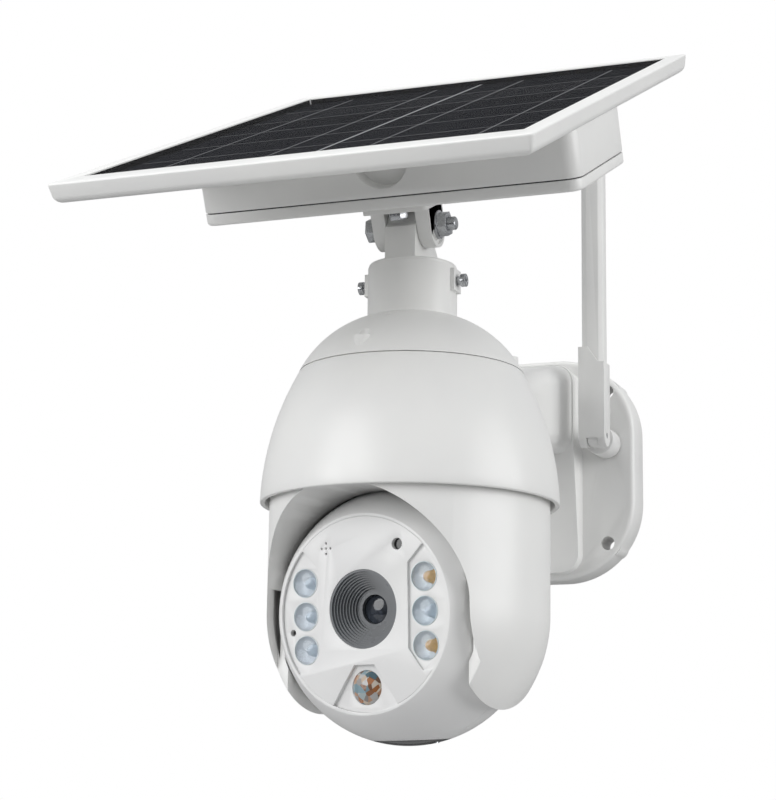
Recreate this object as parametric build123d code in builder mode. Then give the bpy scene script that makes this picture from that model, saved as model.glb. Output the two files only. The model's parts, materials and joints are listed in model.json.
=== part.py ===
from build123d import *
import math
import os

# Solar-powered security camera on a wall bracket.  Millimetres, +Z up.
# The origin is the centre of the wall plate's back face.  The wall is at y = 0 and the camera
# looks towards -Y.  Pieces that move are modelled square-on in their own frame, and the frames
# near the end of this section set them in the rest pose.

# ---- wall plate and arm ----
plate_width = 108.0
plate_height = 114.0
plate_corner = 40.0
plate_depth = 18.0
plate_wall = 3.0
wall_hole_pitch_x = 80.0
wall_hole_pitch_z = 78.0
wall_hole_radius = 3.5
wall_boss_radius = 6.5
pad_width = 54.0
arm_wall = 3.0
arm_reach = 196.0          # wall face to the dome's turning axis

# ---- fixed dome: skirt, cap and neck ----
rim_level = -45.0          # lower edge of the skirt
skirt_radius = 65.0
skirt_height = 58.0
seam_radius = 49.3
skirt_wall = 2.2
cap_height = 25.2          # seam to the foot of the neck
neck_radius = 19.8
neck_height = 22.8
neck_wall = 3.2
seam_gap = 0.4
set_screw_radius = 2.0
cap_screw_circle = 43.0
cap_screw_start = -98.0
cap_screw_radius = 1.4
set_screw_drop = 6.5       # below the neck's top

# ---- pan drive ----
gear_module = 1.0
gear_backlash = 0.36       # share of the pitch that a tooth is thinner than half
pan_gear_teeth = 40
tilt_gear_teeth = 30
pinion_teeth = 10
gear_width = 5.0
run_gap = 0.06             # radial clearance of shafts and pins
turn_gap = 0.5             # clearance between faces that pass each other
hub_radius = 8.0
base_plate_height = 17.0   # above the rim
base_plate_thickness = 3.0

# ---- turning yoke ----
yoke_radius = 60.8
yoke_top = 12.0            # above the rim
yoke_wall = 2.6
arm_inner_wall = 2.5

# ---- camera ball ----
ball_radius = 55.5
ball_drop = 47.0           # ball centre below the rim
ball_half_width = 45.7
ball_wall = 2.4
ball_gap = 0.7
face_distance = 36.5
face_edge = 1.2
face_thickness = 3.0
lens_height = 2.0
lens_window_radius = 16.4
led_x = 29.3
led_pitch = 14.1
led_radius = 6.2
pir_drop = 30.4
pir_radius = 7.2
ear_height = 28.0          # microphone and light sensor above the face's centre
ear_x = 17.5
cover_radius = 17.0
trunnion_radius = 5.0

# ---- tilting hinge above the neck ----
hinge_forward = 5.5        # hinge axis in front of the dome's axis
hinge_rise = 18.3          # above the neck's top
hinge_bolt_radius = 3.0
tongue_width = 14.0
ear_gap = 0.2
ear_thickness = 6.3
ear_radius = 10.0
clevis_plate = 3.0
clevis_length = 33.0
clevis_bolt_offset = 11.5

# ---- battery box and solar panel, square to the panel ----
box_width = 175.0
box_length = 83.0
box_front = -25.0          # front face, from the hinge axis
box_bottom = 12.1          # above the hinge axis
box_seam = 5.2             # height of the lower cover
box_wall = 2.5
box_corner = 7.0
panel_width = 203.0
panel_length = 279.0
panel_corner = 2.5
panel_round = 4.0          # lower edge of the frame
panel_thickness = 8.5
panel_underside = 41.8     # above the hinge axis
panel_centre = 6.5         # behind the hinge axis
glass_width = 186.0
glass_length = 252.0
glass_centre = 10.0        # behind the hinge axis
glass_thickness = 2.0
cell_columns = 2
cell_rows = 6
cell_thickness = 0.3
battery_radius = 9.2
battery_length = 65.0

# ---- antenna ----
antenna_x = 40.0
antenna_z = 11.5
antenna_forward = 42.0     # fold axis in front of the wall
knob_radius = 7.4
sleeve_width = 13.4
sleeve_depth = 11.0
sleeve_height = 48.0
antenna_length = 178.0
antenna_pin_radius = 1.5

# ---- rest pose ----
pan_rest = -11.0
tilt_rest = 4.5
panel_rest = 25.7

dome_y = -arm_reach
seam_level = rim_level + skirt_height
cap_top = seam_level + cap_height
neck_top = cap_top + neck_height
ball_level = rim_level - ball_drop
hinge_level = neck_top + hinge_rise
pan_frame = Location((0, dome_y, 0), (0, 0, pan_rest))
ball_frame = pan_frame * Location((0, 0, ball_level), (tilt_rest, 0, 0))
neck_frame = Location((0, dome_y, 0))
panel_frame_pose = Location((0, dome_y - hinge_forward, hinge_level), (panel_rest, 0, 0))
here = Location((0, 0, 0))

os.makedirs("parts", exist_ok=True)


def save(piece, name, pose=here):
    """Write one finished piece, set in its rest pose, as its own node."""
    solid = piece.part.moved(pose)
    solid.label = name
    export_step(solid, f"parts/{name}.step")


def level(height, x=0.0, y=0.0):
    return Plane(origin=(x, y, height), x_dir=(1, 0, 0), z_dir=(0, 0, 1))


def upright(y, x=0.0, z=0.0):
    """A plane that faces the viewer (-Y), at distance y."""
    return Plane(origin=(x, y, z), x_dir=(1, 0, 0), z_dir=(0, -1, 0))


def sideways(x, y=0.0, z=0.0):
    """A plane that faces +X, with its own x along +Y and its own y along +Z."""
    return Plane(origin=(x, y, z), x_dir=(0, 1, 0), z_dir=(1, 0, 0))


def toothed(teeth, phase=0.0):
    """Sketch a straight-sided gear outline in the current plane."""
    pitch_radius = gear_module * teeth / 2
    half_tooth = math.pi * gear_module / 4 * (1 - gear_backlash)
    root = pitch_radius - 1.05 * gear_module
    tip = pitch_radius + 0.8 * gear_module
    Circle(radius=root)
    foot = root - 0.4
    tooth = (
        (foot, -half_tooth * 1.35),
        (tip, -half_tooth * 0.62),
        (tip, half_tooth * 0.62),
        (foot, half_tooth * 1.35),
    )
    with PolarLocations(0, teeth, start_angle=phase):
        Polygon(*tooth, align=None)


def mesh_phase(teeth, turned):
    """The angle that sets a pinion's tooth into a gap of a gear that is turned from its home."""
    pitch = 360 / teeth
    gap = turned % pitch - pitch / 2
    return -gap * teeth / pinion_teeth


def crown(rim, radius, apex):
    """A round crown from a rim at one height to its apex on the axis."""
    height = rim - apex
    sphere = (radius**2 + height**2) / (2 * height)
    half = math.asin(radius / sphere) / 2
    middle = (apex + sphere * (1 - math.cos(half)), sphere * math.sin(half))
    return ThreePointArc((rim, radius), middle, (apex, 0))


# =============================== fixed wall bracket ===============================

turning_axis = Axis((0, dome_y, 0), (0, 0, 1))
arm_screw_spots = [(x, z) for x in (-12.0, 12.0) for z in (-13.0, 5.5)]
arm_screw_radius = 1.6
arm_screw_seat = dome_y + 47.0     # flat inside the skirt that the screw heads bear on
arm_screw_length = 22.0
arm_root = dome_y + 72.0           # where the arm's solid foot ends and its hollow starts

arm_stations = (           # y, centre height, width, height
    (dome_y + 40.0, -6.0, 40.0, 36.0),
    (-80.0, 16.0, 41.0, 38.0),
    (-50.0, 25.0, 44.0, 41.0),
    (-33.0, 28.0, pad_width, 46.0),
)


def arm_outline(inset, stations):
    """Loft the arm, or its hollow, through its stations."""
    sections = []
    for y, centre, width, height in stations:
        with BuildSketch(upright(y, z=centre)) as station:
            RectangleRounded(width - 2 * inset, height - 2 * inset, 9.0 - inset)
        sections.append(station.sketch)
    loft(sections)


with BuildPart() as arm_hollow:
    hollow_stations = ((arm_root, 1.0, 40.0, 36.0),) + arm_stations[1:]
    arm_outline(arm_wall, hollow_stations)

with BuildPart() as dome_envelope:
    with BuildSketch(upright(dome_y)) as envelope_profile:
        with BuildLine():
            skirt_outer = ThreePointArc(
                (skirt_radius, rim_level),
                (skirt_radius - 5.5, rim_level + 0.586 * skirt_height),
                (seam_radius, seam_level),
            )
            Polyline(skirt_outer @ 1, (seam_radius, cap_top), (0, cap_top), (0, rim_level), skirt_outer @ 0)
        make_face()
    revolve(axis=turning_axis)

with BuildPart() as bracket_pad:
    # the raised pad slopes back towards the plate's lower edge
    pad_bottom = -plate_height / 2 + 3.0
    pad_top = 51.0
    with BuildSketch(sideways(-pad_width / 2)):
        with BuildLine():
            Polyline(
                (-plate_depth + 1.0, pad_bottom),
                (-plate_depth - 7.0, pad_bottom),
                (-35.0, 12.0),
                (-35.0, pad_top),
                (-plate_depth + 1.0, pad_top),
                close=True,
            )
        make_face()
    extrude(amount=pad_width)
    with BuildSketch(upright(0.0, z=(pad_top + pad_bottom) / 2)):
        RectangleRounded(pad_width, pad_top - pad_bottom, 10.0)
    extrude(amount=60.0, mode=Mode.INTERSECT)

with BuildPart() as wall_bracket:
    with BuildSketch(upright(0.0)):
        RectangleRounded(plate_width, plate_height, plate_corner)
    extrude(amount=plate_depth)
    fillet(wall_bracket.faces().sort_by(Axis.Y)[0].outer_wire().edges(), radius=2.5)
    with BuildSketch(upright(0.0)):
        offset_wall = 2 * plate_wall
        RectangleRounded(plate_width - offset_wall, plate_height - offset_wall, plate_corner - plate_wall)
    extrude(amount=plate_depth - plate_wall, mode=Mode.SUBTRACT)
    add(bracket_pad.part)
    arm_outline(0.0, arm_stations)
    add(arm_hollow.part, mode=Mode.SUBTRACT)
    add(dome_envelope.part, mode=Mode.SUBTRACT)
    # the cable's way through the arm: plate hollow to arm hollow, and arm hollow to dome
    with BuildSketch(upright(-plate_depth + plate_wall + 1.0, z=24.0)):
        RectangleRounded(32.0, 28.0, 5.0)
    extrude(amount=22.0, mode=Mode.SUBTRACT)
    with BuildSketch(upright(dome_y + 90.0, z=-2.0)):
        Circle(radius=5.5)
    extrude(amount=60.0, mode=Mode.SUBTRACT)
    with BuildSketch(upright(0.0)):
        with GridLocations(wall_hole_pitch_x, wall_hole_pitch_z, 2, 2):
            Circle(radius=wall_boss_radius)
    extrude(amount=plate_depth - plate_wall + 0.5)
    with BuildSketch(upright(1.0)):
        with GridLocations(wall_hole_pitch_x, wall_hole_pitch_z, 2, 2):
            Circle(radius=wall_hole_radius)
    extrude(amount=plate_depth + 3.0, mode=Mode.SUBTRACT)
    # socket hole for the antenna
    with BuildSketch(upright(0.0, x=antenna_x, z=antenna_z)):
        Circle(radius=3.2)
    extrude(amount=plate_depth + 3.0, mode=Mode.SUBTRACT)
    # blind holes for the four screws that come from inside the dome
    with BuildSketch(upright(arm_screw_seat + arm_screw_length + 1.0)):
        with Locations(*arm_screw_spots):
            Circle(radius=arm_screw_radius)
    extrude(amount=30.0, mode=Mode.SUBTRACT)
save(wall_bracket, "wall_bracket")


# =============================== fixed dome ===============================

rim_plane = upright(dome_y)


def shell_arc(inset):
    """The skirt's side, moved inwards by the wall."""
    return ThreePointArc(
        (skirt_radius - inset, rim_level),
        (skirt_radius - 5.5 - inset, rim_level + 0.586 * skirt_height),
        (seam_radius - inset * 1.25, seam_level),
    )


def cap_arc(inset):
    """The cap's dome, moved inwards by the wall."""
    return ThreePointArc(
        (seam_radius - inset * 1.25, seam_level + seam_gap),
        (seam_radius - 9.0 - inset * 0.75, seam_level + 0.51 * cap_height - inset * 0.65),
        (neck_radius, cap_top - inset),
    )


with BuildPart() as dome_skirt:
    with BuildSketch(rim_plane):
        with BuildLine():
            outer = shell_arc(0.0)
            inner = shell_arc(skirt_wall)
            Line(outer @ 0, inner @ 0)
            Line(outer @ 1, inner @ 1)
        make_face()
    revolve(axis=turning_axis)
    fillet(dome_skirt.edges().sort_by(Axis.Z)[0:2], radius=0.7)
    # seat for the base plate
    with BuildSketch(rim_plane):
        with BuildLine():
            seat_low = rim_level + base_plate_height - 3.0
            Polyline(
                (skirt_radius - 3.6, seat_low - 2.0),
                (skirt_radius - 6.5, seat_low + 3.0),
                (skirt_radius - 2.8, seat_low + 3.0),
                close=True,
            )
        make_face()
    revolve(axis=turning_axis)
    # flat pad inside the wall where the arm is screwed on
    with BuildSketch(upright(arm_root, z=-3.0)):
        RectangleRounded(34.0, 30.0, 3.0)
    extrude(amount=arm_root - arm_screw_seat)
    with BuildSketch(upright(arm_root)):
        with Locations(*arm_screw_spots):
            Circle(radius=arm_screw_radius + 0.1)
        with Locations((0, -2.0)):
            Circle(radius=5.5)
    extrude(amount=40.0, mode=Mode.SUBTRACT)
    # three lugs inside the top edge that take the cap screws
    with BuildSketch(level(seam_level - 9.0, y=dome_y)):
        with PolarLocations(cap_screw_circle, 3, start_angle=cap_screw_start):
            RectangleRounded(12.0, 7.0, 2.0)
    extrude(amount=9.0)
    with BuildSketch(rim_plane):
        with BuildLine():
            outer = shell_arc(0.0)
            Polyline(outer @ 0, (skirt_radius + 9.0, rim_level), (skirt_radius + 9.0, seam_level + 5.0),
                     (seam_radius, seam_level + 5.0), outer @ 1)
        make_face()
    revolve(axis=turning_axis, mode=Mode.SUBTRACT)
    with BuildSketch(level(seam_level - 10.0, y=dome_y)):
        with PolarLocations(cap_screw_circle, 3, start_angle=cap_screw_start):
            Circle(radius=cap_screw_radius)
    extrude(amount=12.0, mode=Mode.SUBTRACT)
save(dome_skirt, "dome_skirt")

with BuildPart() as dome_cap:
    with BuildSketch(rim_plane):
        with BuildLine():
            outer = cap_arc(0.0)
            inner = cap_arc(skirt_wall)
            Line(outer @ 0, inner @ 0)
            Line(outer @ 1, inner @ 1)
        make_face()
        with Locations((neck_radius / 2, cap_top - 1.0)):
            Rectangle(neck_radius, 2.8)
        with Locations((neck_radius - neck_wall / 2, cap_top + neck_height / 2)):
            Rectangle(neck_wall, neck_height)
    revolve(axis=turning_axis)
    fillet(dome_cap.edges().filter_by(GeomType.CIRCLE).sort_by(Axis.Z)[-1:], radius=0.5)
    # flat bosses for the two set screws
    with BuildSketch(level(neck_top - set_screw_drop - 5.0, y=dome_y)):
        Rectangle(2 * neck_radius + 2.6, 9.0)
        Circle(radius=neck_radius - 1.0, mode=Mode.SUBTRACT)
    extrude(amount=10.0)
    # locating lip that drops inside the skirt
    with BuildSketch(level(seam_level - 2.5, y=dome_y)):
        Circle(radius=seam_radius - skirt_wall * 1.25 - 0.1)
        Circle(radius=seam_radius - skirt_wall * 1.25 - 1.8, mode=Mode.SUBTRACT)
        with PolarLocations(cap_screw_circle, 3, start_angle=cap_screw_start):
            Rectangle(14.0, 8.0, mode=Mode.SUBTRACT)
    extrude(amount=4.5)
    # hanging posts for the power board, and bosses for the cap screws
    with BuildSketch(level(seam_level + 2.0, y=dome_y)):
        with PolarLocations(26.0, 3, start_angle=30):
            Circle(radius=3.0)
    extrude(amount=cap_height * 0.78)
    with BuildSketch(level(seam_level, y=dome_y)):
        with PolarLocations(cap_screw_circle, 3, start_angle=cap_screw_start):
            Circle(radius=4.0)
    extrude(amount=9.0)
    with BuildSketch(level(seam_level + 5.0, y=dome_y)):
        with PolarLocations(cap_screw_circle, 3, start_angle=cap_screw_start):
            Circle(radius=2.6)
    extrude(amount=15.0, mode=Mode.SUBTRACT)
    with BuildSketch(level(seam_level - 1.0, y=dome_y)):
        with PolarLocations(cap_screw_circle, 3, start_angle=cap_screw_start):
            Circle(radius=1.4)
    extrude(amount=10.0, mode=Mode.SUBTRACT)
    with BuildSketch(level(seam_level + 1.0, y=dome_y)):
        with PolarLocations(26.0, 3, start_angle=30):
            Circle(radius=1.0)
    extrude(amount=9.0, mode=Mode.SUBTRACT)
    # cable hole in the neck's floor
    with BuildSketch(level(cap_top - 6.0, y=dome_y)):
        Circle(radius=5.0)
    extrude(amount=12.0, mode=Mode.SUBTRACT)
    with BuildSketch(Plane.YZ.offset(-neck_radius - 4.0)):
        with Locations((dome_y, neck_top - set_screw_drop)):
            Circle(radius=set_screw_radius)
    extrude(amount=2 * neck_radius + 8.0, mode=Mode.SUBTRACT)
save(dome_cap, "dome_cap")

with BuildPart() as cap_screws:
    with BuildSketch(level(seam_level - 7.0, y=dome_y)):
        with PolarLocations(cap_screw_circle, 3, start_angle=cap_screw_start):
            Circle(radius=1.4)
    extrude(amount=12.0)
    with BuildSketch(level(seam_level + 5.0, y=dome_y)):
        with PolarLocations(cap_screw_circle, 3, start_angle=cap_screw_start):
            Circle(radius=2.5)
            Rectangle(0.7, 3.0, mode=Mode.SUBTRACT)
            Rectangle(3.0, 0.7, mode=Mode.SUBTRACT)
    extrude(amount=1.6)
    with BuildSketch(level(seam_level + 5.0, y=dome_y)):
        with PolarLocations(cap_screw_circle, 3, start_angle=cap_screw_start):
            Circle(radius=2.5)
    extrude(amount=0.8)
save(cap_screws, "cap_screws")

with BuildPart() as neck_set_screws:
    for side in (-1, 1):
        with BuildSketch(sideways(side * (neck_radius - neck_wall + 0.1), dome_y, neck_top - set_screw_drop)):
            Circle(radius=set_screw_radius)
        extrude(amount=side * 6.3)
        with BuildSketch(sideways(side * (neck_radius + 3.1), dome_y, neck_top - set_screw_drop)):
            Circle(radius=2.9)
        extrude(amount=side * 2.3)
        with BuildSketch(sideways(side * (neck_radius + 4.2), dome_y, neck_top - set_screw_drop)):
            Rectangle(0.8, 3.6)
            Rectangle(3.6, 0.8)
        extrude(amount=side * 2.0, mode=Mode.SUBTRACT)
save(neck_set_screws, "neck_set_screws")

with BuildPart() as arm_screws:
    with BuildSketch(upright(arm_screw_seat + arm_screw_length)):
        with Locations(*arm_screw_spots):
            Circle(radius=arm_screw_radius)
    extrude(amount=arm_screw_length)
    with BuildSketch(upright(arm_screw_seat)):
        with Locations(*arm_screw_spots):
            Circle(radius=3.0)
    extrude(amount=1.6)
save(arm_screws, "arm_screws")

base_level = rim_level + base_plate_height
gear_level = base_level + base_plate_thickness + 4.0
pan_centre_distance = gear_module * (pan_gear_teeth + pinion_teeth) / 2
motor_offset = 8.0         # the stepper's shaft stands off its centre

with BuildPart() as base_plate:
    with BuildSketch(level(base_level, y=dome_y)):
        Circle(radius=skirt_radius - 6.8)
        Circle(radius=hub_radius + 5.0, mode=Mode.SUBTRACT)
    extrude(amount=base_plate_thickness)
    with BuildSketch(level(base_level, x=pan_centre_distance + motor_offset, y=dome_y)):
        with Locations((0, -17.5), (0, 17.5)):
            Circle(radius=3.5)
    extrude(amount=gear_level + gear_width + 2.0 - base_level)
    with BuildSketch(level(base_level - 1.0, y=dome_y)):
        with PolarLocations(50.0, 3, start_angle=-98):
            Circle(radius=1.4)
    extrude(amount=base_plate_thickness + 2.0, mode=Mode.SUBTRACT)
save(base_plate, "base_plate")

with BuildPart() as pan_bearing:
    with BuildSketch(level(base_level, y=dome_y)):
        Circle(radius=hub_radius + 5.0)
        Circle(radius=hub_radius + run_gap, mode=Mode.SUBTRACT)
    extrude(amount=base_plate_thickness)
    with BuildSketch(level(base_level + base_plate_thickness, y=dome_y)):
        Circle(radius=hub_radius + 7.0)
        Circle(radius=hub_radius + run_gap, mode=Mode.SUBTRACT)
    extrude(amount=1.6)
save(pan_bearing, "pan_bearing")

with BuildPart() as pan_motor:
    with BuildSketch(level(gear_level + gear_width + 2.0, x=pan_centre_distance + motor_offset, y=dome_y)):
        Circle(radius=14.0)
    extrude(amount=17.0)
    fillet(pan_motor.edges().sort_by(Axis.Z)[-1], radius=1.0)
    with BuildSketch(level(gear_level + gear_width + 2.0, x=pan_centre_distance + motor_offset, y=dome_y)):
        SlotCenterToCenter(35.0, 7.0, rotation=90)
        with Locations((0, -17.5), (0, 17.5)):
            Circle(radius=1.5, mode=Mode.SUBTRACT)
    extrude(amount=1.0)
    with BuildSketch(level(gear_level + gear_width + 1.0, x=pan_centre_distance, y=dome_y)):
        Circle(radius=4.0)
    extrude(amount=1.0)
save(pan_motor, "pan_motor")

with BuildPart() as pan_pinion:
    with BuildSketch(level(gear_level - 0.5, x=pan_centre_distance, y=dome_y)):
        toothed(pinion_teeth, mesh_phase(pan_gear_teeth, pan_rest))
    extrude(amount=gear_width + 1.0)
save(pan_pinion, "pan_pinion")

with BuildPart() as power_board:
    with BuildSketch(level(seam_level + 0.4, y=dome_y)):
        Circle(radius=32.0)
        with PolarLocations(26.0, 3, start_angle=30):
            Circle(radius=1.1, mode=Mode.SUBTRACT)
    extrude(amount=1.6)
    with BuildSketch(level(seam_level - 5.0, y=dome_y)):
        with Locations((-8, 14)):
            Rectangle(18, 11)
        with Locations((-14, -10)):
            Rectangle(12, 12)
    extrude(amount=5.4)
save(power_board, "power_board")

# =============================== turning yoke, in its own frame ===============================

arm_inner_face = ball_half_width + 0.8
arch_inner = 44.6
arch_outer = 50.0
yoke_axis = Axis((0, 0, 0), (0, 0, 1))


def arch(radius, drop):
    """An arch outline: round above the ball's centre, straight below."""
    with Locations((0, ball_level)):
        Circle(radius=radius)
    with Locations((0, ball_level - drop / 2)):
        Rectangle(2 * radius, drop)


with BuildPart() as ball_room:
    # the room the ball turns in: a sphere cut flat at both sides
    with Locations((0, 0, ball_level)):
        Sphere(radius=ball_radius + ball_gap)
        Box(2 * arm_inner_face, 4 * ball_radius, 4 * ball_radius, mode=Mode.INTERSECT)

with BuildPart() as arm_cavity:
    with BuildSketch(upright(0.0)):
        with BuildLine():
            inside = yoke_radius - yoke_wall
            side = Line((inside, rim_level + 6.0), (inside, ball_level))
            below = RadiusArc((inside, ball_level), (0, ball_level - inside), inside)
            Polyline(below @ 1, (0, rim_level + 6.0), side @ 0)
        make_face()
    revolve(axis=yoke_axis)
    with Locations((0, 0, ball_level)):
        Box(2 * (arm_inner_face + arm_inner_wall), 200, 300, mode=Mode.SUBTRACT)

with BuildPart() as yoke_shell:
    yoke_top_level = rim_level + yoke_top
    with BuildSketch(upright(0.0)):
        with BuildLine():
            side = Line((yoke_radius, yoke_top_level), (yoke_radius, ball_level))
            below = RadiusArc((yoke_radius, ball_level), (0, ball_level - yoke_radius), yoke_radius)
            Polyline(below @ 1, (0, yoke_top_level), side @ 0)
        make_face()
    revolve(axis=yoke_axis)
    chamfer(yoke_shell.edges().sort_by(Axis.Z)[-1], length=1.2)
    add(arm_cavity.part, mode=Mode.SUBTRACT)
    add(ball_room.part, mode=Mode.SUBTRACT)
    # seat for the top plate
    with BuildSketch(level(yoke_top_level - 2.6)):
        Circle(radius=yoke_radius - 4.0)
    extrude(amount=10.0, mode=Mode.SUBTRACT)
    # open front and back below an arch, with a dished edge
    for facing in (-1, 1):
        lips = []
        for distance, radius in ((face_distance - 0.5, arch_inner), (yoke_radius + 1.0, arch_outer)):
            with BuildSketch(upright(facing * distance)) as lip:
                arch(radius, 80.0)
            lips.append(lip.sketch)
        loft(lips, mode=Mode.SUBTRACT)
    with BuildSketch(upright(0.0)):
        arch(arch_inner, 80.0)
    extrude(amount=face_distance, both=True, mode=Mode.SUBTRACT)
    # bearing holes for the trunnions
    with BuildSketch(sideways(-arm_inner_face - arm_inner_wall - 1.0, z=ball_level)):
        Circle(radius=trunnion_radius)
    extrude(amount=2 * (arm_inner_face + arm_inner_wall + 1.0), mode=Mode.SUBTRACT)
save(yoke_shell, "yoke_shell", pan_frame)

with BuildPart() as yoke_top_plate:
    with BuildSketch(level(yoke_top_level - 2.6)):
        Circle(radius=yoke_radius - 4.0)
        Circle(radius=6.0, mode=Mode.SUBTRACT)
    extrude(amount=2.6)
save(yoke_top_plate, "yoke_top_plate", pan_frame)

with BuildPart() as pan_hub:
    with BuildSketch(level(yoke_top_level)):
        Circle(radius=14.0)
    extrude(amount=base_level - yoke_top_level - turn_gap)
    with BuildSketch(level(yoke_top_level)):
        Circle(radius=hub_radius)
    extrude(amount=gear_level + gear_width + 2.0 - yoke_top_level)
    with BuildSketch(level(yoke_top_level)):
        Circle(radius=5.0)
    extrude(amount=60.0, mode=Mode.SUBTRACT)
save(pan_hub, "pan_hub", pan_frame)

with BuildPart() as pan_gear:
    with BuildSketch(level(gear_level)):
        toothed(pan_gear_teeth)
        Circle(radius=hub_radius, mode=Mode.SUBTRACT)
    extrude(amount=gear_width)
save(pan_gear, "pan_gear", pan_frame)

tilt_gear_x = 33.5
trunnion_seat = arm_inner_face + arm_inner_wall
with BuildPart() as tilt_trunnions:
    for side, inner_end in ((-1, arm_inner_face - 8.0), (1, tilt_gear_x - 2.0)):
        with BuildSketch(sideways(side * trunnion_seat, z=ball_level)):
            Circle(radius=8.0)
        extrude(amount=side * 2.5)
        with BuildSketch(sideways(side * inner_end, z=ball_level)):
            Circle(radius=trunnion_radius)
        extrude(amount=side * (trunnion_seat - inner_end))
    with BuildSketch(sideways(-60.0, z=ball_level)):
        Circle(radius=2.8)
    extrude(amount=120.0, mode=Mode.SUBTRACT)
save(tilt_trunnions, "tilt_trunnions", pan_frame)

with BuildPart() as tilt_gear:
    with BuildSketch(sideways(tilt_gear_x, z=ball_level)):
        toothed(tilt_gear_teeth)
        Circle(radius=trunnion_radius, mode=Mode.SUBTRACT)
    extrude(amount=gear_width)
save(tilt_gear, "tilt_gear", pan_frame)

# =============================== camera ball, about its own centre ===============================

ball_front = -face_distance
ball_inside = ball_radius - ball_wall
led_spots = [(side * led_x, row * led_pitch) for side in (-1, 1) for row in (-1, 0, 1)]
tilt_motor_distance = gear_module * (tilt_gear_teeth + pinion_teeth) / 2
face_depth = face_thickness + 1.0
hood_depth = 9.0
barrel_front = ball_front + hood_depth + 0.5
camera_board_y = barrel_front + 18.5
speaker_radius = 13.0
speaker_front = math.sqrt(ball_inside**2 - speaker_radius**2) - 0.05
main_board_x = -13.0
main_board_z = 2.0
main_board_width = 50.0
main_board_height = 46.0
main_board_back = 5.6
board_post_spots = [
    (main_board_x + side * (main_board_width / 2 - 6.0), main_board_z + end * (main_board_height / 2 - 6.0))
    for side in (-1, 1) for end in (-1, 1)]



def ball_core(radius, half_width):
    """A ball with flat sides, turned about its tilting axis."""
    edge = math.sqrt(radius**2 - half_width**2)
    with BuildPart() as core:
        with BuildSketch(Plane.XY):
            with BuildLine():
                Polyline((-half_width, edge), (-half_width, 0), (half_width, 0), (half_width, edge))
                ThreePointArc((half_width, edge), (0, radius), (-half_width, edge))
            make_face()
        revolve(axis=Axis.X)
    return core.part


ball_outside_form = ball_core(ball_radius, ball_half_width)
ball_inside_form = ball_core(ball_inside, ball_half_width - ball_wall)

with BuildPart() as ball_shells:
    add(ball_outside_form)
    add(ball_inside_form, mode=Mode.SUBTRACT)
    with BuildSketch(sideways(-ball_half_width - 1.0)):
        Circle(radius=trunnion_radius + 2.0)
    extrude(amount=2 * ball_half_width + 2.0, mode=Mode.SUBTRACT)
    # the flat face
    with Locations((0, ball_front - ball_radius, 0)):
        Box(4 * ball_radius, 2 * ball_radius, 4 * ball_radius, mode=Mode.SUBTRACT)
    face_radius = math.sqrt(ball_radius**2 - face_distance**2)
    with BuildSketch(upright(ball_front)):
        Circle(radius=face_radius - face_edge)
    extrude(amount=-8.0, mode=Mode.SUBTRACT)
    # opening for the service cover
    with BuildSketch(level(0.0)):
        Circle(radius=cover_radius + 0.15)
    extrude(amount=-2 * ball_radius, mode=Mode.SUBTRACT)
    # ledge behind the face plate
    with BuildSketch(upright(ball_front + face_depth)):
        Circle(radius=face_radius + 1.4)
        Circle(radius=face_radius - 2.0, mode=Mode.SUBTRACT)
    extrude(amount=-1.5)
    # posts for the tilt motor
    with BuildSketch(sideways(ball_half_width - 1.0)):
        with Locations((tilt_motor_distance, -15.5), (tilt_motor_distance, 15.5)):
            Circle(radius=2.6)
    extrude(amount=-(ball_half_width - 1.0 - tilt_gear_x + 2.0))
    # sound holes
    with BuildSketch(upright(ball_radius + 1.0)):
        with GridLocations(3.6, 3.6, 4, 4):
            Circle(radius=0.9)
    extrude(amount=8.0, mode=Mode.SUBTRACT)

with BuildPart() as front_ball_shell:
    add(ball_shells.part)
    with Locations((0, -2 * ball_radius, 0)):
        Box(4 * ball_radius, 4 * ball_radius, 4 * ball_radius, mode=Mode.INTERSECT)
save(front_ball_shell, "front_ball_shell", ball_frame)

with BuildPart() as rear_ball_shell:
    add(ball_shells.part)
    with Locations((0, 2 * ball_radius, 0)):
        Box(4 * ball_radius, 4 * ball_radius, 4 * ball_radius, mode=Mode.INTERSECT)
save(rear_ball_shell, "rear_ball_shell", ball_frame)

with BuildPart() as face_plate:
    with BuildSketch(upright(ball_front)):
        Circle(radius=face_radius - face_edge - 0.1)
    extrude(amount=-face_depth)
    # posts that carry the camera board
    with BuildSketch(upright(ball_front + face_depth, z=lens_height)):
        with GridLocations(32.0, 32.0, 2, 2):
            Circle(radius=2.2)
    extrude(amount=-(camera_board_y - ball_front - face_depth))
    # stepped bays for the two rows of lamps
    for side in (-1, 1):
        bay = ((21.6, -15.0), (22.3, 20.2), (29.2, 27.3), (45.0, 27.3), (45.0, -24.0), (28.0, -24.0))
        with BuildSketch(upright(ball_front)):
            Polygon(*[(side * x, z) for x, z in bay], align=None)
        extrude(amount=-1.4, mode=Mode.SUBTRACT)
    # notch round the motion sensor, open at the bottom
    with BuildSketch(upright(ball_front)):
        Polygon((-5.0, -21.0), (5.0, -21.0), (21.0, -45.0), (-21.0, -45.0), align=None)
    extrude(amount=-1.8, mode=Mode.SUBTRACT)
    with BuildSketch(upright(ball_front)):
        with Locations((0, lens_height)):
            Circle(radius=lens_window_radius + 0.1)
        with Locations(*led_spots):
            Circle(radius=led_radius)
        with Locations((0, -pir_drop)):
            Circle(radius=pir_radius)
        with Locations((-ear_x, ear_height), (-ear_x - 2.2, ear_height), (-ear_x + 2.2, ear_height),
                       (-ear_x, ear_height - 2.2), (-ear_x, ear_height + 2.2)):
            Circle(radius=0.55)
        with Locations((ear_x, ear_height)):
            Circle(radius=2.5)
        with Locations((-36.0, -6.6)):
            Circle(radius=1.4)
    extrude(amount=-10.0, mode=Mode.SUBTRACT)
save(face_plate, "face_plate", ball_frame)

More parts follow.
